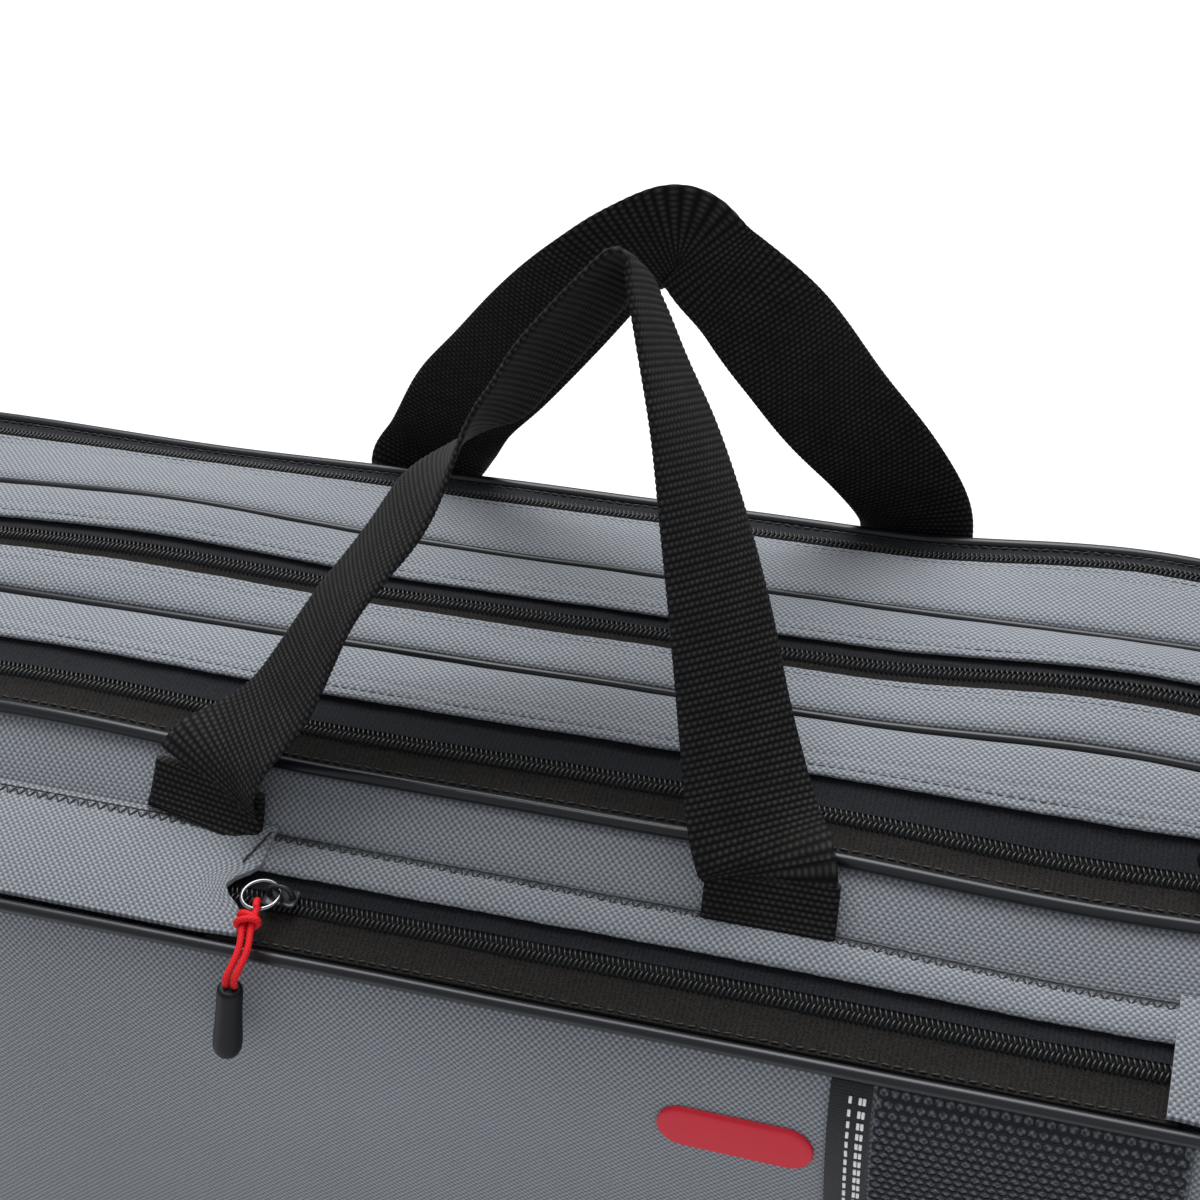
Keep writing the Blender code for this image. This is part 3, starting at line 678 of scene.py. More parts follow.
ring = open_ring(body_outline(0.0), -LAP_X, LAP_X)
for place in ("front", "middle", "rear"):
    low, high = (corner[1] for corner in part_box(f"gusset_{place}"))
    piece = gusset(f"cloth_gusset_{place}", ring, lambda x, z, a=low: a, lambda x, z, b=high: b, -LAP_X,
                   LAP_X,
                   PILLOW)
    place_piece(piece, "bag", "grey_fabric", f"gusset_{place}")

# %% [markdown]
# ## Top strips
# Beside each zip lies a strip of the same cloth. At one side it goes into the seam with the piping, at
# the other it is folded under and stitched to the zip tape, so its edge is round and a little uneven, and
# two lines of stitches pull shallow grooves into it. The strip is a skin over cross-sections, one every 2
# mm.

# %% Strips
STRIP = 1.5 * MM
STEP_X = 2 * MM
STITCH_LINES = (2.9 * MM, 6.6 * MM)
SEAM_SINK, SINK_REACH = 1.3 * MM, 1.6 * MM
GROOVE, GROOVE_REACH = 0.4 * MM, 0.8 * MM


def strip(name, x_low, x_high, y_seam, y_fold, height, lines=STITCH_LINES, pillow=0.9 * MM):
    """A strip from its seam to its folded edge; height is that of the flat top there."""
    outward = 1 if y_fold > y_seam else -1
    width = abs(y_fold - y_seam)
    count = round((x_high - x_low) / STEP_X)
    rows, along = [], []
    for i in range(count + 1):
        x = x_low + (x_high - x_low) * i / count
        uneven = noise.noise(Vector((x * 90, y_fold * 50, 7)))
        scallop = MM * (0.12 * math.sin(x / (1.15 * MM)) + 0.35 * uneven)
        reach = width + scallop * 0.6
        ring = []
        for k in range(22):
            d = (reach - STRIP / 2) * (k / 21)
            sink = SEAM_SINK * math.exp(-d / SINK_REACH)
            grooves = sum(GROOVE * math.exp(-((reach - d - line) / GROOVE_REACH) ** 2) for line in lines)
            puff = pillow * math.sin(math.pi * min(1.0, d / reach)) ** 0.8
            puff += 0.25 * MM * noise.noise(Vector((x * 70, d * 160, y_fold * 90)))
            ring.append((d, puff - sink - grooves))
        for k in range(5):
            a = math.radians(90 - 180 * (k + 1) / 6)
            ring.append((reach - STRIP / 2 + STRIP / 2 * math.cos(a), -STRIP / 2 + STRIP / 2 * math.sin(a)))
        ring += [((reach - STRIP / 2) * k / 6, -STRIP - (0.6 * MM if k < 2 else 0.0))
                 for k in range(6, -1, -1)]
        rows.append([settle(x, y_seam + outward * d, height + z) for d, z in ring])
        along.append(x)
    around = lengths([(d, z) for d, z in ring] + [ring[0]])
    return skin(name, rows, lambda i, j: (around[j], along[i]), grey, crease=60)


STRIPS = {"top_strip_front": 1, "top_strip_middle_front": -1, "top_strip_middle_rear": 1,
          "top_strip_rear": -1}
for node_name, seam_side in STRIPS.items():
    low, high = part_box(node_name)
    seam, fold = (high[1], low[1]) if seam_side > 0 else (low[1], high[1])
    piece = strip("cloth_" + node_name, low[0], high[0], seam, fold, HEIGHT)
    place_piece(piece, "bag", "grey_fabric", node_name)

# %% [markdown]
# ## Piping
# A cord covered in soft vinyl is sewn into every seam. Its roundness catches the long pale glint, so it
# is a real round tube, with a thin coat over a dark base.

# %% Piping
piping_finish, tree, shader = new_finish("vinyl piping", (0.0055, 0.0065, 0.0095), 0.36, {
    "Specular IOR Level": 0.35, "Coat Weight": 0.15, "Coat Roughness": 0.2})
set_bump(tree, shader, blotches(tree, 420, 2.0), 0.06 * MM, 0.35)


def piping(node_name, outline, gap):
    low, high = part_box(node_name)
    radius, y = (high[1] - low[1]) / 2, (low[1] + high[1]) / 2
    path = [settle(x, y, z) for x, z, _, _ in outline(radius + gap)]
    piece = tube("cord_" + node_name, path, radius, piping_finish, 14, closed=True)
    place_piece(piece, "bag", "piping", node_name)


for node_name in ("piping_front", "piping_divider_front", "piping_divider_rear", "piping_back"):
    piping(node_name, body_outline, 0.3 * MM)

# %% [markdown]
# ## Zip tapes
# A zip tape is a thin knitted band. Its wales are finer than the grey cloth, and it shows as near black
# with a fine grain. It hangs slightly between the folded edge of the strip and the teeth.

# %% Tapes
WALE = 0.75 * MM


def make_tape_finish(name, dark, bright):
    finish, tree, shader = new_finish(name, bright, 0.9, {"Sheen Weight": 0.08, "Specular IOR Level": 0.12})
    across, along = cloth_axes(tree)
    knit = cells(tree, across, calc(tree, "ADD", along, calc(tree, "ABSOLUTE", across)), WALE, WALE)
    grain = blotches(tree, 1800, 2.0)
    level = ranged(tree, calc(tree, "ADD", grain, calc(tree, "MULTIPLY", knit, 0.12)), 0.25, 0.8)
    paint(tree, shader, level, dark, bright)
    set_bump(tree, shader, calc(tree, "ADD", calc(tree, "MULTIPLY", knit, 0.4), grain), 0.15 * MM, 0.7)
    return finish


TAPE_FINISHES = {"front": make_tape_finish("zip tape warm", (0.0030, 0.0027, 0.0025),
                                           (0.0260, 0.0235, 0.0215)),
                 "rear": make_tape_finish("zip tape cool", (0.0028, 0.0031, 0.0040),
                                          (0.0175, 0.0190, 0.0240))}
TAPE = 1.0 * MM
TAPE_DROP = 2.3 * MM


def tape(name, x_low, x_high, y_low, y_high, height, finish, coil_side):
    count = round((x_high - x_low) / (2 * STEP_X))
    rows = []
    for i in range(count + 1):
        x = x_low + (x_high - x_low) * i / count
        ring = []
        for k in range(12):
            t = k / 11
            to_coil = t if coil_side > 0 else 1 - t
            sag = -0.5 * MM * math.sin(math.pi * t) + 0.3 * MM * to_coil ** 3
            sag += 0.35 * MM * noise.noise(Vector((x * 60, t * 2.2, y_low * 90)))
            ring.append((y_low + (y_high - y_low) * t, height - TAPE_DROP + sag))
        ring += [(y, z - TAPE) for y, z in reversed(ring)]
        rows.append([settle(x, y, z) for y, z in ring])
    around = lengths(ring + [ring[0]])
    step = (x_high - x_low) / count
    return skin(name, rows, lambda i, j: (around[j], i * step), finish)


def zip_tapes(place, height, longer=0.0):
    """Both tapes of a zip; longer is how much further left they start than in the CAD model."""
    for side, finish in TAPE_FINISHES.items():
        node_name = f"zip_{place}_tape_{side}"
        low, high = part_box(node_name)
        piece = tape("knit_" + node_name, low[0] - longer, high[0], low[1], high[1], height, finish,
                     1 if side == "front" else -1)
        place_piece(piece, "bag", "zip_tape", node_name)


for place in ("front", "middle", "rear"):
    zip_tapes(place, HEIGHT)

# %% [markdown]
# ## A tool that repeats a piece
# Teeth, stitches, dashes and mesh cells are one small piece repeated hundreds of times. Geometry Nodes do
# that best: points that carry the directions "along" and "up" go in, and a copy of the piece stands on
# each. The tree ends by making the copies real and giving them their finish. After that we keep the plain
# mesh and drop the modifier, so the piece can be exported as it is.

# %% Repeat tree
def build_repeater():
    tree = bpy.data.node_groups.new("repeat a piece", "GeometryNodeTree")
    for name, kind in (("Places", "Geometry"), ("Piece", "Object"), ("Length", "Float"), ("Width", "Float"),
                       ("Height", "Float"), ("Spread", "Float"), ("Seed", "Int"), ("Finish", "Material")):
        tree.interface.new_socket(name=name, in_out="INPUT", socket_type="NodeSocket" + kind)
    tree.interface.new_socket(name="Repeated", in_out="OUTPUT", socket_type="NodeSocketGeometry")
    given = node(tree, "NodeGroupInput").outputs
    size = node(tree, "ShaderNodeCombineXYZ", {0: given["Length"], 1: given["Width"], 2: given["Height"]})
    piece = node(tree, "GeometryNodeObjectInfo", {"Object": given["Piece"]})
    along, above = (node(tree, "GeometryNodeInputNamedAttribute", {"Name": name}, data_type="FLOAT_VECTOR")
                    for name in ("along", "up"))
    turned = node(tree, "FunctionNodeAlignRotationToVector", {"Vector": along.outputs[0]}, axis="X")
    turned = node(tree, "FunctionNodeAlignRotationToVector",
                  {"Rotation": turned.outputs[0], "Vector": above.outputs[0]}, axis="Z", pivot_axis="X")
    chance = node(tree, "FunctionNodeRandomValue",
                  {0: calc(tree, "MULTIPLY", given["Spread"], -1.0), 1: given["Spread"],
                   "Seed": given["Seed"]},
                  data_type="FLOAT_VECTOR")
    slip = node(tree, "FunctionNodeEulerToRotation", {0: chance.outputs[0]})
    turned = node(tree, "FunctionNodeRotateRotation", {0: turned.outputs[0], 1: slip.outputs[0]},
                  rotation_space="LOCAL")
    copies = node(tree, "GeometryNodeInstanceOnPoints",
                  {"Points": given["Places"], "Instance": piece.outputs["Geometry"],
                   "Rotation": turned.outputs[0], "Scale": size.outputs[0]})
    real = node(tree, "GeometryNodeRealizeInstances", {0: copies.outputs[0]})
    done = node(tree, "GeometryNodeSetMaterial", {"Geometry": real.outputs[0], "Material": given["Finish"]})
    node(tree, "NodeGroupOutput", {0: done.outputs[0]})
    return tree


REPEATER = build_repeater()


def repeat(name, places, piece, size, finish, spread=0.0, seed=1):
    """A copy of the unit piece at each (point, along, up); size is its length, width and height."""
    host = link_mesh(name, [p for p, _, _ in places], [])
    for k, label in ((1, "along"), (2, "up")):
        layer = host.data.attributes.new(label, "FLOAT_VECTOR", "POINT")
        layer.data.foreach_set("vector", [value for place in places for value in place[k]])
    modifier = host.modifiers.new("repeat", "NODES")
    modifier.node_group = REPEATER
    values = {"Piece": piece, "Length": size[0], "Width": size[1], "Height": size[2], "Spread": spread,
              "Seed": seed, "Finish": finish}
    for item in REPEATER.interface.items_tree:
        if item.in_out == "INPUT" and item.name in values:
            modifier[item.identifier] = values[item.name]
    bpy.context.view_layer.update()
    made = host.evaluated_get(bpy.context.evaluated_depsgraph_get())
    mesh = bpy.data.meshes.new_from_object(made)
    host.modifiers.remove(modifier)
    host.data = mesh
    mesh.shade_smooth()
    return host


def unit_tube(name, path, radii, sides=6):
    """A small closed tube for the repeater; radii holds half its width and half its height at each place."""
    rows = []
    for i, here in enumerate(path):
        along = (path[min(i + 1, len(path) - 1)] - path[max(i - 1, 0)]).normalized()
        side = Vector((1, 0, 0)) if abs(along.x) < 0.5 else Vector((0, 1, 0))
        other = along.cross(side)
        a, b = radii[i]
        rows.append([here + side * (a * c) + other * (b * s) for c, s in circle(sides)])
    made = skin(name, rows, lambda i, j: (0, 0), None, crease=180)
    made.hide_render = True
    return made


stitch = unit_tube("unit_stitch", [Vector((x, 0, 0)) for x in (-0.5, -0.38, -0.12, 0.12, 0.38, 0.5)],
                   [(0.15, 0.15), (0.4, 0.4), (0.5, 0.5), (0.5, 0.5), (0.4, 0.4), (0.15, 0.15)])
dash = unit_tube("unit_dash", [Vector((x, 0, 0)) for x in (-0.5, -0.44, 0.44, 0.5)],
                 [(0.4, 0.3), (0.5, 0.5), (0.5, 0.5), (0.4, 0.3)], sides=8)
tooth = unit_tube("unit_tooth", [Vector((0, y, z)) for y, z in (
    (0.0, 0.08), (0.04, 0.45), (0.16, 0.74), (0.42, 0.80), (0.70, 0.80), (0.90, 0.72), (1.0, 0.45))],
    [(0.40, 0.04), (0.44, 0.05), (0.46, 0.12), (0.46, 0.2), (0.5, 0.2), (0.56, 0.12), (0.36, 0.06)], sides=8)
print("unit pieces:", len(tooth.data.polygons), "faces a tooth,", len(stitch.data.polygons), "a stitch")


def on_top(x, y, height):
    """A point of the top with the directions along the bag and out of the cloth."""
    step = 2 * MM
    along = (settle(x + step, y, height) - settle(x - step, y, height)).normalized()
    across = (settle(x, y + step, height) - settle(x, y - step, height)).normalized()
    return settle(x, y, height), along, along.cross(across).normalized()


# %% [markdown]
# ## Nylon coils
# A coil zip is one nylon wire on each tape, wound and flattened, and the turns of one side sit between
# the turns of the other. From above, each side is a row of slanted bars, 1.55 mm apart, and the heads
# meet at the middle line. A bar leans the same way along the zip on both sides, which gives the zip its
# arrow pattern.

# %% Coils
COIL_PITCH = 1.55 * MM
COIL_HALF = 2.7 * MM
TOOTH_WIDTH, TOOTH_HEIGHT, TOOTH_LEAN = 0.78 * MM, 2.0 * MM, 0.34
HEAD_OVERLAP = 0.35 * MM

nylon, tree, shader = new_finish("black nylon coil", (0.0075, 0.0073, 0.0065), 0.36,
                                 {"Specular IOR Level": 0.5})
set_bump(tree, shader, blotches(tree, 1600, 1.0), 0.04 * MM, 0.3)


def coil(node_name, x_low, x_high, y, height):
    count = int((x_high - x_low) / COIL_PITCH)
    places = []
    for k in range(count):
        for side in (-1, 1):
            x = x_low + (k + 0.5 + 0.25 * side) * COIL_PITCH
            point, along, above = on_top(x, y + side * COIL_HALF, height - TAPE_DROP - 0.15 * MM)
            across = along.cross(above) * side
            lean = (across + along * TOOTH_LEAN).normalized()
            places.append((point, lean.cross(above).normalized(), above))
    reach = math.hypot(COIL_HALF + HEAD_OVERLAP, TOOTH_LEAN * (COIL_HALF + HEAD_OVERLAP))
    teeth = repeat("teeth_" + node_name, places, tooth, (TOOTH_WIDTH, reach, TOOTH_HEIGHT), nylon)
    place_piece(teeth, "bag", "zip_coil", node_name)
    core = tape("core_" + node_name, x_low, x_high, y - COIL_HALF - 0.3 * MM, y + COIL_HALF + 0.3 * MM,
                height - 0.25 * MM, TAPE_FINISHES["rear"], 0)
    place_piece(core, "bag", "zip_coil", node_name)


for place in ("front", "middle", "rear"):
    low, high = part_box(f"zip_{place}_coil")
    coil(f"zip_{place}_coil", low[0], high[0], between(f"zip_{place}_coil", 1), HEIGHT)

# %% [markdown]
# ## Stitches
# Lockstitches are short raised threads with a small gap between them. We lay points along each seam and
# repeat one thread on them. A little spread in their angle keeps a long seam from looking printed.

# %% Stitches on the main body
thread_grey, tree, shader = new_finish("grey thread", (0.085, 0.092, 0.105), 0.7,
                                       {"Specular IOR Level": 0.3})
paint(tree, shader, blotches(tree, 500), (0.05, 0.055, 0.065), (0.14, 0.15, 0.17))
thread_black, tree, shader = new_finish("black thread", (0.006, 0.006, 0.007), 0.55,
                                        {"Specular IOR Level": 0.4})
paint(tree, shader, blotches(tree, 500), (0.006, 0.006, 0.008), (0.026, 0.026, 0.028))


def line_on_top(x_low, x_high, y, height, pitch):
    count = int((x_high - x_low) / pitch)
    return [on_top(x_low + (k + 0.5) * pitch, y, height) for k in range(count)]


def zigzag_on_top(x_low, x_high, y, height, pitch, half_width):
    """Slanted threads that go to and fro across the line."""
    places = []
    for k, (point, along, above) in enumerate(line_on_top(x_low, x_high, y, height, pitch)):
        across = above.cross(along) * (1 if k % 2 else -1)
        places.append((point, (along * pitch / 2 + across * half_width).normalized(), above))
    return places


places = []
for node_name, seam_side in STRIPS.items():
    low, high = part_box(node_name)
    fold = low[1] if seam_side > 0 else high[1]
    for line in STITCH_LINES:
        places += line_on_top(low[0], high[0], fold + seam_side * line, HEIGHT + 0.15 * MM, 3.0 * MM)
seams = [between("piping_" + label, 1) for label in ("front", "divider_front", "divider_rear", "back")]
for side in (-1, 1):
    for low, high in zip(seams, seams[1:]):
        for k in range(int((high - low - 8 * MM) / (3 * MM))):
            point, along, above = on_top(side * (LAP_X + 3 * MM), low + 5.5 * MM + 3 * MM * k,
                                         HEIGHT + 2.5 * MM)
            places.append((point, above.cross(along), above))
topstitch = repeat("topstitch", places, stitch, (2.1 * MM, 0.38 * MM, 0.34 * MM), thread_grey, 0.06, 3)
place_piece(topstitch, "bag", "grey_fabric")

places = []
low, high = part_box("zip_front_tape_front")
places += line_on_top(low[0], high[0], low[1] + 1.1 * MM, HEIGHT - TAPE_DROP + 0.2 * MM, 3.3 * MM)
low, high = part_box("zip_rear_tape_rear")
places += line_on_top(low[0], high[0], high[1] - 1.1 * MM, HEIGHT - TAPE_DROP + 0.2 * MM, 3.3 * MM)
seam_thread = repeat("seam_thread", places, stitch, (2.6 * MM, 0.7 * MM, 0.6 * MM), thread_black, 0.22, 5)
place_piece(seam_thread, "bag", "zip_tape")

# %% [markdown]
# ## Front pocket
# The pocket has its own padded face, piping and gusset. Its zip is let into the top: the gusset ends in a
# round bite at the left, where the first teeth and the tape come out, and a soft hem joins the pocket to
# the bag.

# %% Pocket face, piping and gusset
POCKET_FACE_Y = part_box("pocket_face")[1][1]
POCKET_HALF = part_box("pocket_face")[1][0] + PANEL_EDGE
POCKET_TOP = flat_height(POCKET_FACE_Y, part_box("pocket_face")[1][2]) + PANEL_EDGE
POCKET_BOTTOM = flat_height(POCKET_FACE_Y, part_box("pocket_face")[0][2]) - PANEL_EDGE
POCKET_WALL, POCKET_BULGE, POCKET_SWELL = 2 * MM, 8 * MM, 1.4
POCKET_RADIUS = 45 * MM


def pocket_outline(inset):
    radius = max(POCKET_RADIUS - inset, LEAST_RADIUS)
    return rounded(POCKET_HALF - inset, POCKET_TOP - inset, POCKET_BOTTOM + inset, radius, radius)


pocket_face = padded_panel("cloth_pocket_face", pocket_outline, PANEL_EDGE, POCKET_FACE_Y - POCKET_WALL, -1,
                           POCKET_WALL, POCKET_BULGE, grey, swell=POCKET_SWELL)
place_piece(pocket_face, "bag", "grey_fabric", "pocket_face")

piping("piping_pocket", pocket_outline, 0.2 * MM)

POCKET_ZIP_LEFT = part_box("zip_pocket_coil")[0][0]
POCKET_ZIP_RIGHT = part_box("zip_pocket_coil")[1][0]
POCKET_ZIP_Y = between("zip_pocket_coil", 1)
BITE, BITE_REACH = 8 * MM, 8.5 * MM


def behind_pocket(x, z):
    """Where the pocket's gusset meets the front panel."""
    inside = min(HALF_LENGTH - PANEL_EDGE - abs(x), HEIGHT - PANEL_EDGE - z, z - PANEL_EDGE)
    return FRONT_SEAM_Y - WALL / 2 - bulge(max(inside, 0.0), FRONT_BULGE) - 0.6 * MM


ring = open_ring(pocket_outline(0.0), POCKET_ZIP_LEFT + 2 * MM, POCKET_ZIP_RIGHT - 3 * MM)
piece = gusset("cloth_pocket_gusset", ring, lambda x, z: POCKET_FACE_Y + 0.3 * MM, behind_pocket,
               POCKET_ZIP_LEFT + 2 * MM, POCKET_ZIP_RIGHT - 3 * MM, 1.0 * MM, lap_lift=1.2 * MM,
               bite=lambda y: BITE * hump(y - POCKET_ZIP_Y, BITE_REACH))
place_piece(piece, "bag", "grey_fabric", "pocket_gusset")

# %% Pocket zip and hem
low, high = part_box("pocket_hem_strip")
hem = strip("cloth_pocket_hem", low[0] - 1 * MM, high[0], high[1], low[1], POCKET_TOP, lines=(),
            pillow=1.4 * MM)
place_piece(hem, "bag", "grey_fabric", "pocket_hem_strip")
zip_tapes("pocket", POCKET_TOP, BITE)
coil("zip_pocket_coil", POCKET_ZIP_LEFT - BITE, POCKET_ZIP_RIGHT, POCKET_ZIP_Y, POCKET_TOP)

low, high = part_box("pocket_hem_strip")
HEM_SEAM_Y, HEM_HALF = high[1] - 1.6 * MM, 0.205
places = zigzag_on_top(-HEM_HALF, HEM_HALF, HEM_SEAM_Y, POCKET_TOP + 0.75 * MM, 1.7 * MM, 1.25 * MM)
places += line_on_top(-HEM_HALF, HEM_HALF, HEM_SEAM_Y + 1.5 * MM, POCKET_TOP + 0.3 * MM, 2.6 * MM)
zigzag = repeat("hem_zigzag", places, stitch, (2.7 * MM, 0.60 * MM, 0.45 * MM), thread_black, 0.10, 7)
place_piece(zigzag, "bag", "grey_fabric")
places = []
for k in range(6):
    t = k / 5
    point, along, above = on_top(POCKET_ZIP_LEFT + MM * (0.7 - 4 * t), HEM_SEAM_Y - MM * (0.5 + 9 * t),
                                 POCKET_TOP + 2.4 * MM)
    places.append((point, (above.cross(along) + along * 0.4).normalized(), above))
low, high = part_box("zip_pocket_tape_front")
places += line_on_top(low[0] - BITE, high[0], low[1] + 1.0 * MM, POCKET_TOP - TAPE_DROP + 0.2 * MM, 3.3 * MM)
end_thread = repeat("pocket_seam_thread", places, stitch, (2.4 * MM, 0.7 * MM, 0.6 * MM), thread_black,
                    0.15, 9)
place_piece(end_thread, "bag", "zip_tape")

# %% [markdown]
# On the pocket face lie a mesh panel, a reflective tape and a red mark. They follow the swell of the
# face, so they ask the same functions for it. The net is a real honeycomb: one six-sided ring of thread,
# repeated in rows that are shifted by half a cell, over a grey ground.

# %% Pieces laid on the pocket face
def on_pocket(x, inset, off):
    """A point that far below the edge of the pocket face, and off the cloth by off."""
    z = POCKET_TOP - PANEL_EDGE - inset
    soft = softness(x, z, POCKET_FACE_Y - POCKET_WALL, inset, POCKET_SWELL)
    return settle(x, POCKET_FACE_Y - POCKET_WALL - bulge(inset, POCKET_BULGE) - soft - off, z)


def pocket_directions(x, inset, off):
    step = 0.5 * MM
    along = (on_pocket(x + step, inset, off) - on_pocket(x - step, inset, off)).normalized()
    down = (on_pocket(x, inset + step, off) - on_pocket(x, max(0.0, inset - step), off)).normalized()
    return on_pocket(x, inset, off), along, down, down.cross(along).normalized()


def laid_band(name, x_low, x_high, bottom, thickness, finish, lift_off=0.4 * MM):
    rows, runs = [], []
    columns = max(4, round((x_high - x_low) / (4 * MM)))
    insets = [MM * d for d in (0.2, 0.8, 1.6, 3, 5, 8, 12, 17, 23, 30)]
    insets += [0.030 + (bottom - 0.030) * k / 24 for k in range(1, 25)]
    for inset in insets:
        xs = [x_low + (x_high - x_low) * k / columns for k in range(columns + 1)]
        rows.append([on_pocket(x, inset, lift_off + thickness) for x in xs]
                    + [on_pocket(x, inset, lift_off) for x in reversed(xs)])
        runs.append(inset)
    across = [k / columns * (x_high - x_low) for k in range(columns + 1)]
    across = across + across[::-1] + [0.0]
    return skin(name, rows, lambda i, j: (across[j], runs[i]), finish)


low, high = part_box("mesh_panel")
MESH_LEFT, MESH_RIGHT, MESH_DROP = low[0], high[0], 0.205
# the ground cloth takes the same weave, whose dark and bright squares are painted shade and painted
# highlight
ground = make_cloth("ground of the mesh", (0.035, 0.039, 0.046), (0.150, 0.162, 0.180), THREAD, 0.2 * MM)
mesh_ground = laid_band("mesh_ground", MESH_LEFT, MESH_RIGHT, MESH_DROP, 0.6 * MM, ground)
place_piece(mesh_ground, "bag", "mesh_net", "mesh_panel")

net_finish, tree, shader = new_finish("net thread", (0.0060, 0.0075, 0.0105), 0.7,
                                      {"Specular IOR Level": 0.3})
set_bump(tree, shader, blotches(tree, 1500, 1.0), 0.05 * MM, 0.5)
CELL = 2.9 * MM
CELL_RADIUS = CELL / math.sqrt(3)
corners = [Vector((c, s, 0)) for c, s in circle(6)]
hexagon = tube("unit_cell", corners, 0.30, None, sides=4, closed=True, guide=(0, 0, 1))
hexagon.hide_render = True
places = []
for row in range(int((MESH_DROP - 2 * MM) / (CELL_RADIUS * 1.5))):
    for k in range(int((MESH_RIGHT - MESH_LEFT - CELL) / CELL)):
        x = MESH_LEFT + CELL * (k + 0.75 + 0.5 * (row % 2))
        point, along, _, out = pocket_directions(x, 1.2 * MM + row * CELL_RADIUS * 1.5, 1.15 * MM)
        places.append((point, along, out))
net = repeat("mesh_net", places, hexagon, (CELL_RADIUS, CELL_RADIUS, 1.1 * MM), net_finish)
place_piece(net, "bag", "mesh_net", "mesh_panel")

# the ribbon's weave also gets its dark and bright squares as painted shade and painted highlight
ribbon_black = make_cloth("black ribbon", (0.0030, 0.0034, 0.0045), (0.0085, 0.0095, 0.0125), 0.7 * MM,
                          0.12 * MM, 0.6)
low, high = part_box("reflective_tape")
ribbon = laid_band("ribbon", low[0], high[0], MESH_DROP, 0.8 * MM, ribbon_black)
place_piece(ribbon, "bag", "reflective", "reflective_tape")
glass, tree, shader = new_finish("reflective dashes", (0.80, 0.82, 0.82), 0.35, {"Specular IOR Level": 0.8})
set_bump(tree, shader, blotches(tree, 4000, 1.0), 0.04 * MM, 0.4)
places = []
DASH_PITCH = 3.4 * MM
for row in range(int((MESH_DROP - 5 * MM) / DASH_PITCH)):
    for offset in (5.6 * MM, 8.3 * MM, 9.4 * MM):
        point, _, down, out = pocket_directions(low[0] + offset, 4 * MM + row * DASH_PITCH, 1.3 * MM)
        places.append((point, down, out))
dashes = repeat("reflective_dashes", places, dash, (2.1 * MM, 0.95 * MM, 0.5 * MM), glass, 0.04, 11)
place_piece(dashes, "bag", "reflective", "reflective_tape")

# %% Red mark
mark_red, tree, shader = new_finish("red raised print", (0.60, 0.002, 0.022), 0.42,
                                    {"Specular IOR Level": 0.4})
set_bump(tree, shader, blotches(tree, 900, 2.0), 0.08 * MM, 0.5)
low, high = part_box("emblem")
mark_top = POCKET_TOP - PANEL_EDGE - flat_height(low[1], high[2])
radius = (high[2] - low[2]) / 2
rows = []
for shrink, off in ((0.0, 0.2), (0.0, 0.9), (0.25, 1.25), (0.8, 1.4), (2.6, 1.45), (5.6, 1.45)):
    row = []
    for centre_x, start in ((high[0] - radius, 90), (low[0] + radius, -90)):
        for k in range(13):
            a = math.radians(start - 15 * k)
            r = radius - shrink * MM
            row.append(on_pocket(centre_x + r * math.cos(a), mark_top + radius - r * math.sin(a), off * MM))
    rows.append(row)
mark = skin("red_mark", rows, lambda i, j: (i * MM, j * MM), mark_red)
place_piece(mark, "bag", "emblem_red", "emblem")

# %% [markdown]
# ## Webbing handles
# Webbing is a thick narrow weave with cross ribs, 1.9 mm apart, and on each rib the warp shows as a row
# of short dashes that shift by half a dash from rib to rib. The ribs are real: the handle is a skin over
# cross-sections, four to a rib, so its outline against the light is notched as on real webbing. Only the
# dashes, which are flat, are left to the finish. Their colour also carries a painted glint, brightest on
# the crest of each rib and dark between the ribs, and a painted navy sheen near both edges.

# %% Finish of the webbing
RIB = 1.9 * MM
DASH = 0.98 * MM
WEBBING_WIDTH = 38 * MM


# The dash colour is partly the pale warp and partly a painted glint; the edge colour is a painted navy
# sheen.
BETWEEN_RIBS, DASH_AND_GLINT_COLOUR, EDGE_NAVY_SHEEN = (0.0015, 0.0015, 0.0018), (0.044, 0.042, 0.038), (0.0012, 0.0016,
                                                                                         0.0034)
webbing_black, tree, shader = new_finish("ribbed webbing", DASH_AND_GLINT_COLOUR, 0.72, {"Specular IOR Level": 0.12})
across, along = cloth_axes(tree)
check = cells(tree, across, calc(tree, "ADD", along, RIB / 2), DASH, RIB)
# painted glint: the dashes get their bright colour only on the crest of each rib and fade to the dark ground
# between the ribs
crest_glint = calc(tree, "ABSOLUTE", calc(tree, "COSINE", calc(tree, "MULTIPLY", along, math.pi / RIB)))
crest_glint = calc(tree, "MULTIPLY", crest_glint, crest_glint)
amount = calc(tree, "MULTIPLY", ranged(tree, check, -0.35, 0.45, 0.30, 1.0), crest_glint)
amount = calc(tree, "MULTIPLY", amount, ranged(tree, blotches(tree, 160), 0.3, 0.7, 0.6, 1.0))
# painted sheen: the ground turns navy near both edges of the webbing
from_middle = calc(tree, "ABSOLUTE", calc(tree, "SUBTRACT", across, WEBBING_WIDTH / 2))
ground = mix(tree, ranged(tree, from_middle, 13 * MM, 18 * MM), BETWEEN_RIBS, EDGE_NAVY_SHEEN)
paint(tree, shader, amount, ground, DASH_AND_GLINT_COLOUR)
set_bump(tree, shader, calc(tree, "ADD", amount, blotches(tree, 2500, 1.0)), 0.16 * MM, 0.7)

# %% [markdown]
# The route is a smooth curve through a few places, each with the direction in which the width points.
# Both are taken at even steps and averaged with their neighbours, which is what stiff webbing does to a
# twist. A little cupping across the width lets the edges catch light.

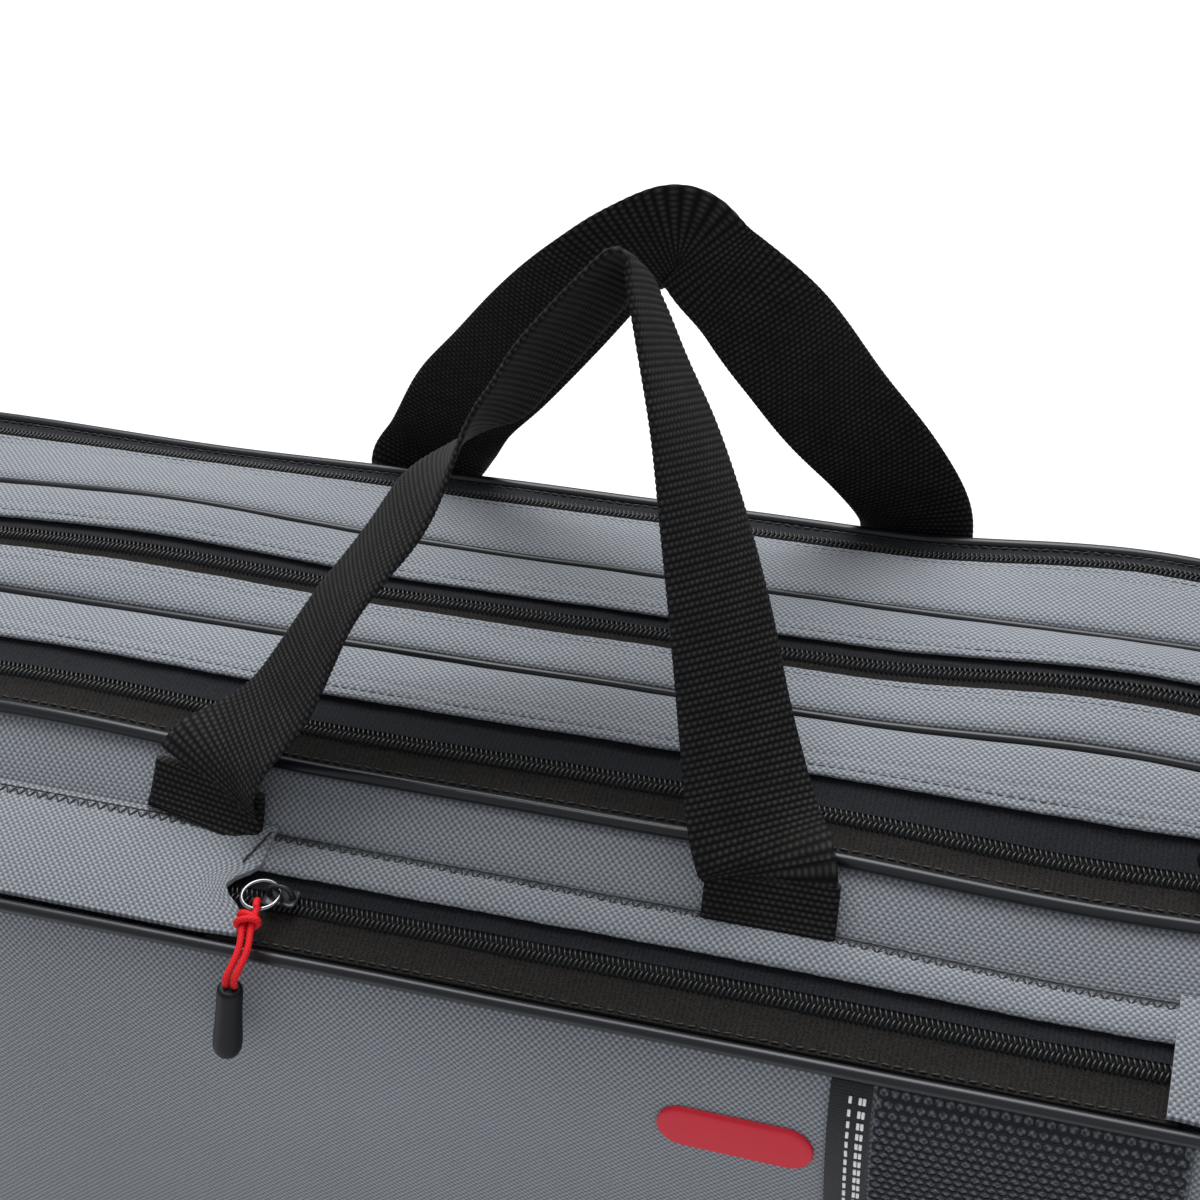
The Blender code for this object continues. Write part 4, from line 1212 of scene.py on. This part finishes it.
# %% Handles
HANDLE = 1.8 * MM
RIB_RELIEF, RIB_STEP = 0.26 * MM, RIB / 4
EDGE_NOTCH, EDGE_ROUND, CUP_MIDDLE = 0.12 * MM, 0.5 * MM, 0.35
COLUMNS = 20
SMOOTH_REACH = 4.5 * MM


def even_route(points, widths, step):
    """Places and width directions every step along the smooth curve, averaged with their neighbours."""
    fine = smooth_route(points, 24)
    fine_widths = smooth_route(widths, 24)
    run = lengths(fine)
    count = round(run[-1] / step)
    places, directions, k = [], [], 0
    for i in range(count + 1):
        target = run[-1] * i / count
        while k < len(run) - 2 and run[k + 1] < target:
            k += 1
        t = (target - run[k]) / (run[k + 1] - run[k])
        places.append(fine[k].lerp(fine[k + 1], t))
        directions.append(fine_widths[k].lerp(fine_widths[k + 1], t))
    reach = round(SMOOTH_REACH / step)
    sums = {}
    for label, values in (("place", places), ("width", directions)):
        total = [Vector((0, 0, 0))]
        for value in values:
            total.append(total[-1] + value)
        averaged = []
        for i in range(count + 1):
            span = min(reach, i, count - i)
            averaged.append((total[i + span + 1] - total[i - span]) / (2 * span + 1))
        sums[label] = averaged
    return sums["place"], sums["width"]


def webbing_frames(points, widths):
    """At each step: the middle, the direction of the width and the direction through the webbing."""
    places, directions = even_route(points, widths, RIB_STEP)
    frames = []
    for i, here in enumerate(places):
        ahead = (places[min(i + 1, len(places) - 1)] - places[max(i - 1, 0)]).normalized()
        width = (directions[i] - ahead * directions[i].dot(ahead)).normalized()
        frames.append((here, width, ahead.cross(width).normalized()))
    return frames


def webbing(name, frames, thickness, cup=lambda t: 0.0):
    rows, count = [], len(frames)
    for i, (here, width, through) in enumerate(frames):
        rib = abs(math.cos(math.pi * i * RIB_STEP / RIB))
        bend = cup(i / (count - 1))
        half = WEBBING_WIDTH / 2 + EDGE_NOTCH * rib - EDGE_ROUND
        upper, lower = [], []
        for k in range(COLUMNS + 1):
            u = 2 * k / COLUMNS - 1
            curve = here + width * (half * u) + through * (bend * (u * u - CUP_MIDDLE))
            off = thickness / 2 + RIB_RELIEF * (rib - 0.5)
            off *= 1.0 if 0 < k < COLUMNS else 0.72
            upper.append(curve + through * off)
            lower.append(curve - through * off)
        tips = [here + width * (side * (half + EDGE_ROUND)) + through * (bend * (1 - CUP_MIDDLE))
                for side in (1, -1)]
        rows.append(upper + [tips[0]] + lower[::-1] + [tips[1]])
    across = [WEBBING_WIDTH * k / COLUMNS for k in range(COLUMNS + 1)]
    across = across + [WEBBING_WIDTH + EDGE_ROUND] + across[::-1] + [-EDGE_ROUND, 0.0]
    return skin(name, rows, lambda i, j: (across[j], i * RIB_STEP), webbing_black, crease=70)


# Each route point: the middle of the webbing (x, y, z above the top) and where its width points
FRONT_ROUTE = [
    ((-0.0840, -0.0900, -0.0075), (0.98, -0.18, 0.04)),
    ((-0.0812, -0.0886, -0.0020), (0.95, -0.27, 0.10)),
    ((-0.0752, -0.0846, 0.005), (0.86, -0.44, 0.25)),
    ((-0.0630, -0.0752, 0.018), (0.76, -0.55, 0.35)),
    ((-0.0495, -0.0610, 0.042), (0.64, -0.65, 0.41)),
    ((-0.038, -0.0520, 0.058), (0.60, -0.70, 0.38)),
    ((-0.026, -0.0440, 0.074), (0.58, -0.75, 0.33)),
    ((-0.012, -0.0333, 0.090), (0.25, -0.75, 0.61)),
    ((-0.0035, -0.0278, 0.0975), (0.10, -0.62, 0.78)),
    ((0.0065, -0.0193, 0.1105), (0.00, -0.63, 0.78)),
    ((0.0270, -0.0060, 0.1320), (0.03, -0.68, 0.73)),
    ((0.0325, -0.0090, 0.1270), (0.02, -0.82, 0.57)),
    ((0.041, -0.0197, 0.111), (-0.10, -0.86, 0.51)),
    ((0.049, -0.0297, 0.095), (-0.25, -0.86, 0.45)),
    ((0.0565, -0.0414, 0.0755), (-0.41, -0.82, 0.39)),
    ((0.064, -0.0543, 0.053), (-0.55, -0.77, 0.32)),
    ((0.0715, -0.0690, 0.027), (-0.68, -0.69, 0.25)),
    ((0.079, -0.0825, 0.006), (-0.85, -0.50, 0.10)),
    ((0.0840, -0.0890, -0.0020), (-0.98, -0.14, 0.02)),
    ((0.0850, -0.0900, -0.0075), (-1.00, 0.00, 0.00)),
]
BACK_ROUTE = [
    ((-0.085, 0.0915, -0.036), (1.00, 0.00, 0.00)),
    ((-0.085, 0.0905, -0.022), (0.99, 0.05, -0.10)),
    ((-0.076, 0.0870, -0.008), (0.95, 0.05, -0.30)),
    ((-0.070, 0.0820, 0.002), (0.92, 0.05, -0.37)),
    ((-0.0585, 0.0740, 0.022), (0.81, -0.04, -0.58)),
    ((-0.0415, 0.0660, 0.043), (0.68, -0.02, -0.73)),
    ((-0.0215, 0.0580, 0.068), (0.53, 0.16, -0.83)),
    ((-0.004, 0.0540, 0.088), (0.32, 0.33, -0.88)),
    ((0.009, 0.0550, 0.0985), (0.08, 0.28, -0.95)),
    ((0.0245, 0.0580, 0.1035), (-0.20, 0.06, -0.98)),
    ((0.0345, 0.0560, 0.095), (-0.40, 0.00, -0.92)),
    ((0.048, 0.0550, 0.083), (-0.57, -0.13, -0.81)),
    ((0.059, 0.0600, 0.065), (-0.63, -0.36, -0.68)),
    ((0.070, 0.0690, 0.041), (-0.74, -0.36, -0.56)),
    ((0.0845, 0.0775, 0.016), (-0.86, -0.20, -0.47)),
    ((0.0935, 0.0855, -0.006), (-0.92, -0.06, -0.38)),
    ((0.0945, 0.0903, -0.022), (-0.99, 0.00, -0.12)),
    ((0.0925, 0.0915, -0.036), (-1.00, 0.00, 0.00)),
]
lift_top = Vector((0, 0, HEIGHT))
for name, route in (("handle_front", FRONT_ROUTE), ("handle_back", BACK_ROUTE)):
    frames = webbing_frames([Vector(p) + lift_top for p, _ in route], [Vector(w) for _, w in route])
    piece = webbing("webbing_" + name, frames, HANDLE, lambda t: 1.4 * MM * math.sin(math.pi * t) ** 0.5)
    place_piece(piece, name, "webbing", name)

# %% [markdown]
# Each end of a handle is turned back on itself and sewn down, so the foot is twice as thick as the
# handle. On the front it runs to the seam of the pocket, on the back it lies flat on the panel. Two of
# the feet lean a little, the way their handle pulls.

# %% Feet
# the middle of the doubled webbing: y and z above the top
FRONT_FOOT = [(-0.0890, -0.0058), (-0.0905, -0.0100), (-0.0925, -0.0145), (-0.0950, -0.0182),
              (-0.0970, -0.0196)]
BACK_FOOT = [(0.0903, -0.0385), (0.0903, -0.0450), (0.0903, -0.0520), (0.0903, -0.0600)]
FOOT_X = 85.5 * MM
# how far a foot leans along the bag at its top and at its bottom, and how far the top is twisted
LEANS = {"handle_front_foot_left": (1.8, 0.0, -0.18), "handle_back_foot_right": (5.5, 4.5, 0.0)}


def foot(node_name, profile, side, thickness):
    at_top, at_bottom, twist = LEANS.get(node_name, (0.0, 0.0, 0.0))
    points, widths = [], []
    for k, (y, z) in enumerate(profile):
        t = k / (len(profile) - 1)
        points.append(Vector((side * FOOT_X + MM * (at_top + (at_bottom - at_top) * t), y, HEIGHT + z)))
        widths.append(Vector((1, twist * (1 - t), 0)))
    piece = webbing("webbing_" + node_name, webbing_frames(points, widths), thickness)
    place_piece(piece, "bag", "webbing", node_name)


for side, label in ((-1, "left"), (1, "right")):
    foot(f"handle_front_foot_{label}", FRONT_FOOT, side, 3.4 * MM)
    foot(f"handle_back_foot_{label}", BACK_FOOT, side, 2.4 * MM)

# %% [markdown]
# ## Inside the bag
# The dividers and the stiffener boards keep their CAD shapes, because they are plain sheets. They only
# get better finishes: a thin lining cloth and a ribbed plastic board, both written on object coordinates.

# %% Lining and boards
def object_waves(tree, axis, pitch):
    place = node(tree, "ShaderNodeTexCoord")
    parts = node(tree, "ShaderNodeSeparateXYZ", {0: place.outputs["Object"]})
    return calc(tree, "SINE", calc(tree, "MULTIPLY", parts.outputs[axis], math.pi / pitch))


lining, tree, shader = new_finish("black lining", (0.02, 0.02, 0.023), 0.8, {"Sheen Weight": 0.2})
threads = calc(tree, "MULTIPLY", object_waves(tree, 0, 0.6 * MM), object_waves(tree, 2, 0.6 * MM))
paint(tree, shader, calc(tree, "ABSOLUTE", threads), (0.012, 0.012, 0.014), (0.035, 0.035, 0.040))
set_bump(tree, shader, calc(tree, "ABSOLUTE", threads), 0.1 * MM, 0.6)
board, tree, shader = new_finish("stiffener board", (0.07, 0.07, 0.07), 0.5)
paint(tree, shader, blotches(tree, 60), (0.05, 0.05, 0.05), (0.09, 0.09, 0.09))
set_bump(tree, shader, object_waves(tree, 0, 4 * MM), 0.3 * MM, 0.6)
for stem, finish, labels in (("divider_", lining, ("front", "rear")),
                             ("base_board_", board, ("front", "middle", "rear"))):
    for label in labels:
        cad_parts[stem + label].material_slots[0].material = finish

# %% [markdown]
# ## Finish
# The unit pieces were only patterns for the repeater, so they go.

# %% Drop the unit pieces, lay the floor and the last check
for piece in (stitch, dash, tooth, hexagon):
    bpy.data.objects.remove(piece)
floor_finish, tree, shader = new_finish("pale floor", (0.90, 0.91, 0.92), 0.9)
floor = link_mesh("floor", [(-6, -6, 0), (6, -6, 0), (6, 9, 0), (-6, 9, 0)], [(0, 1, 2, 3)], floor_finish)
shown = [name for name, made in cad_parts.items() if not made.hide_render]
print("CAD nodes still shown:", shown)
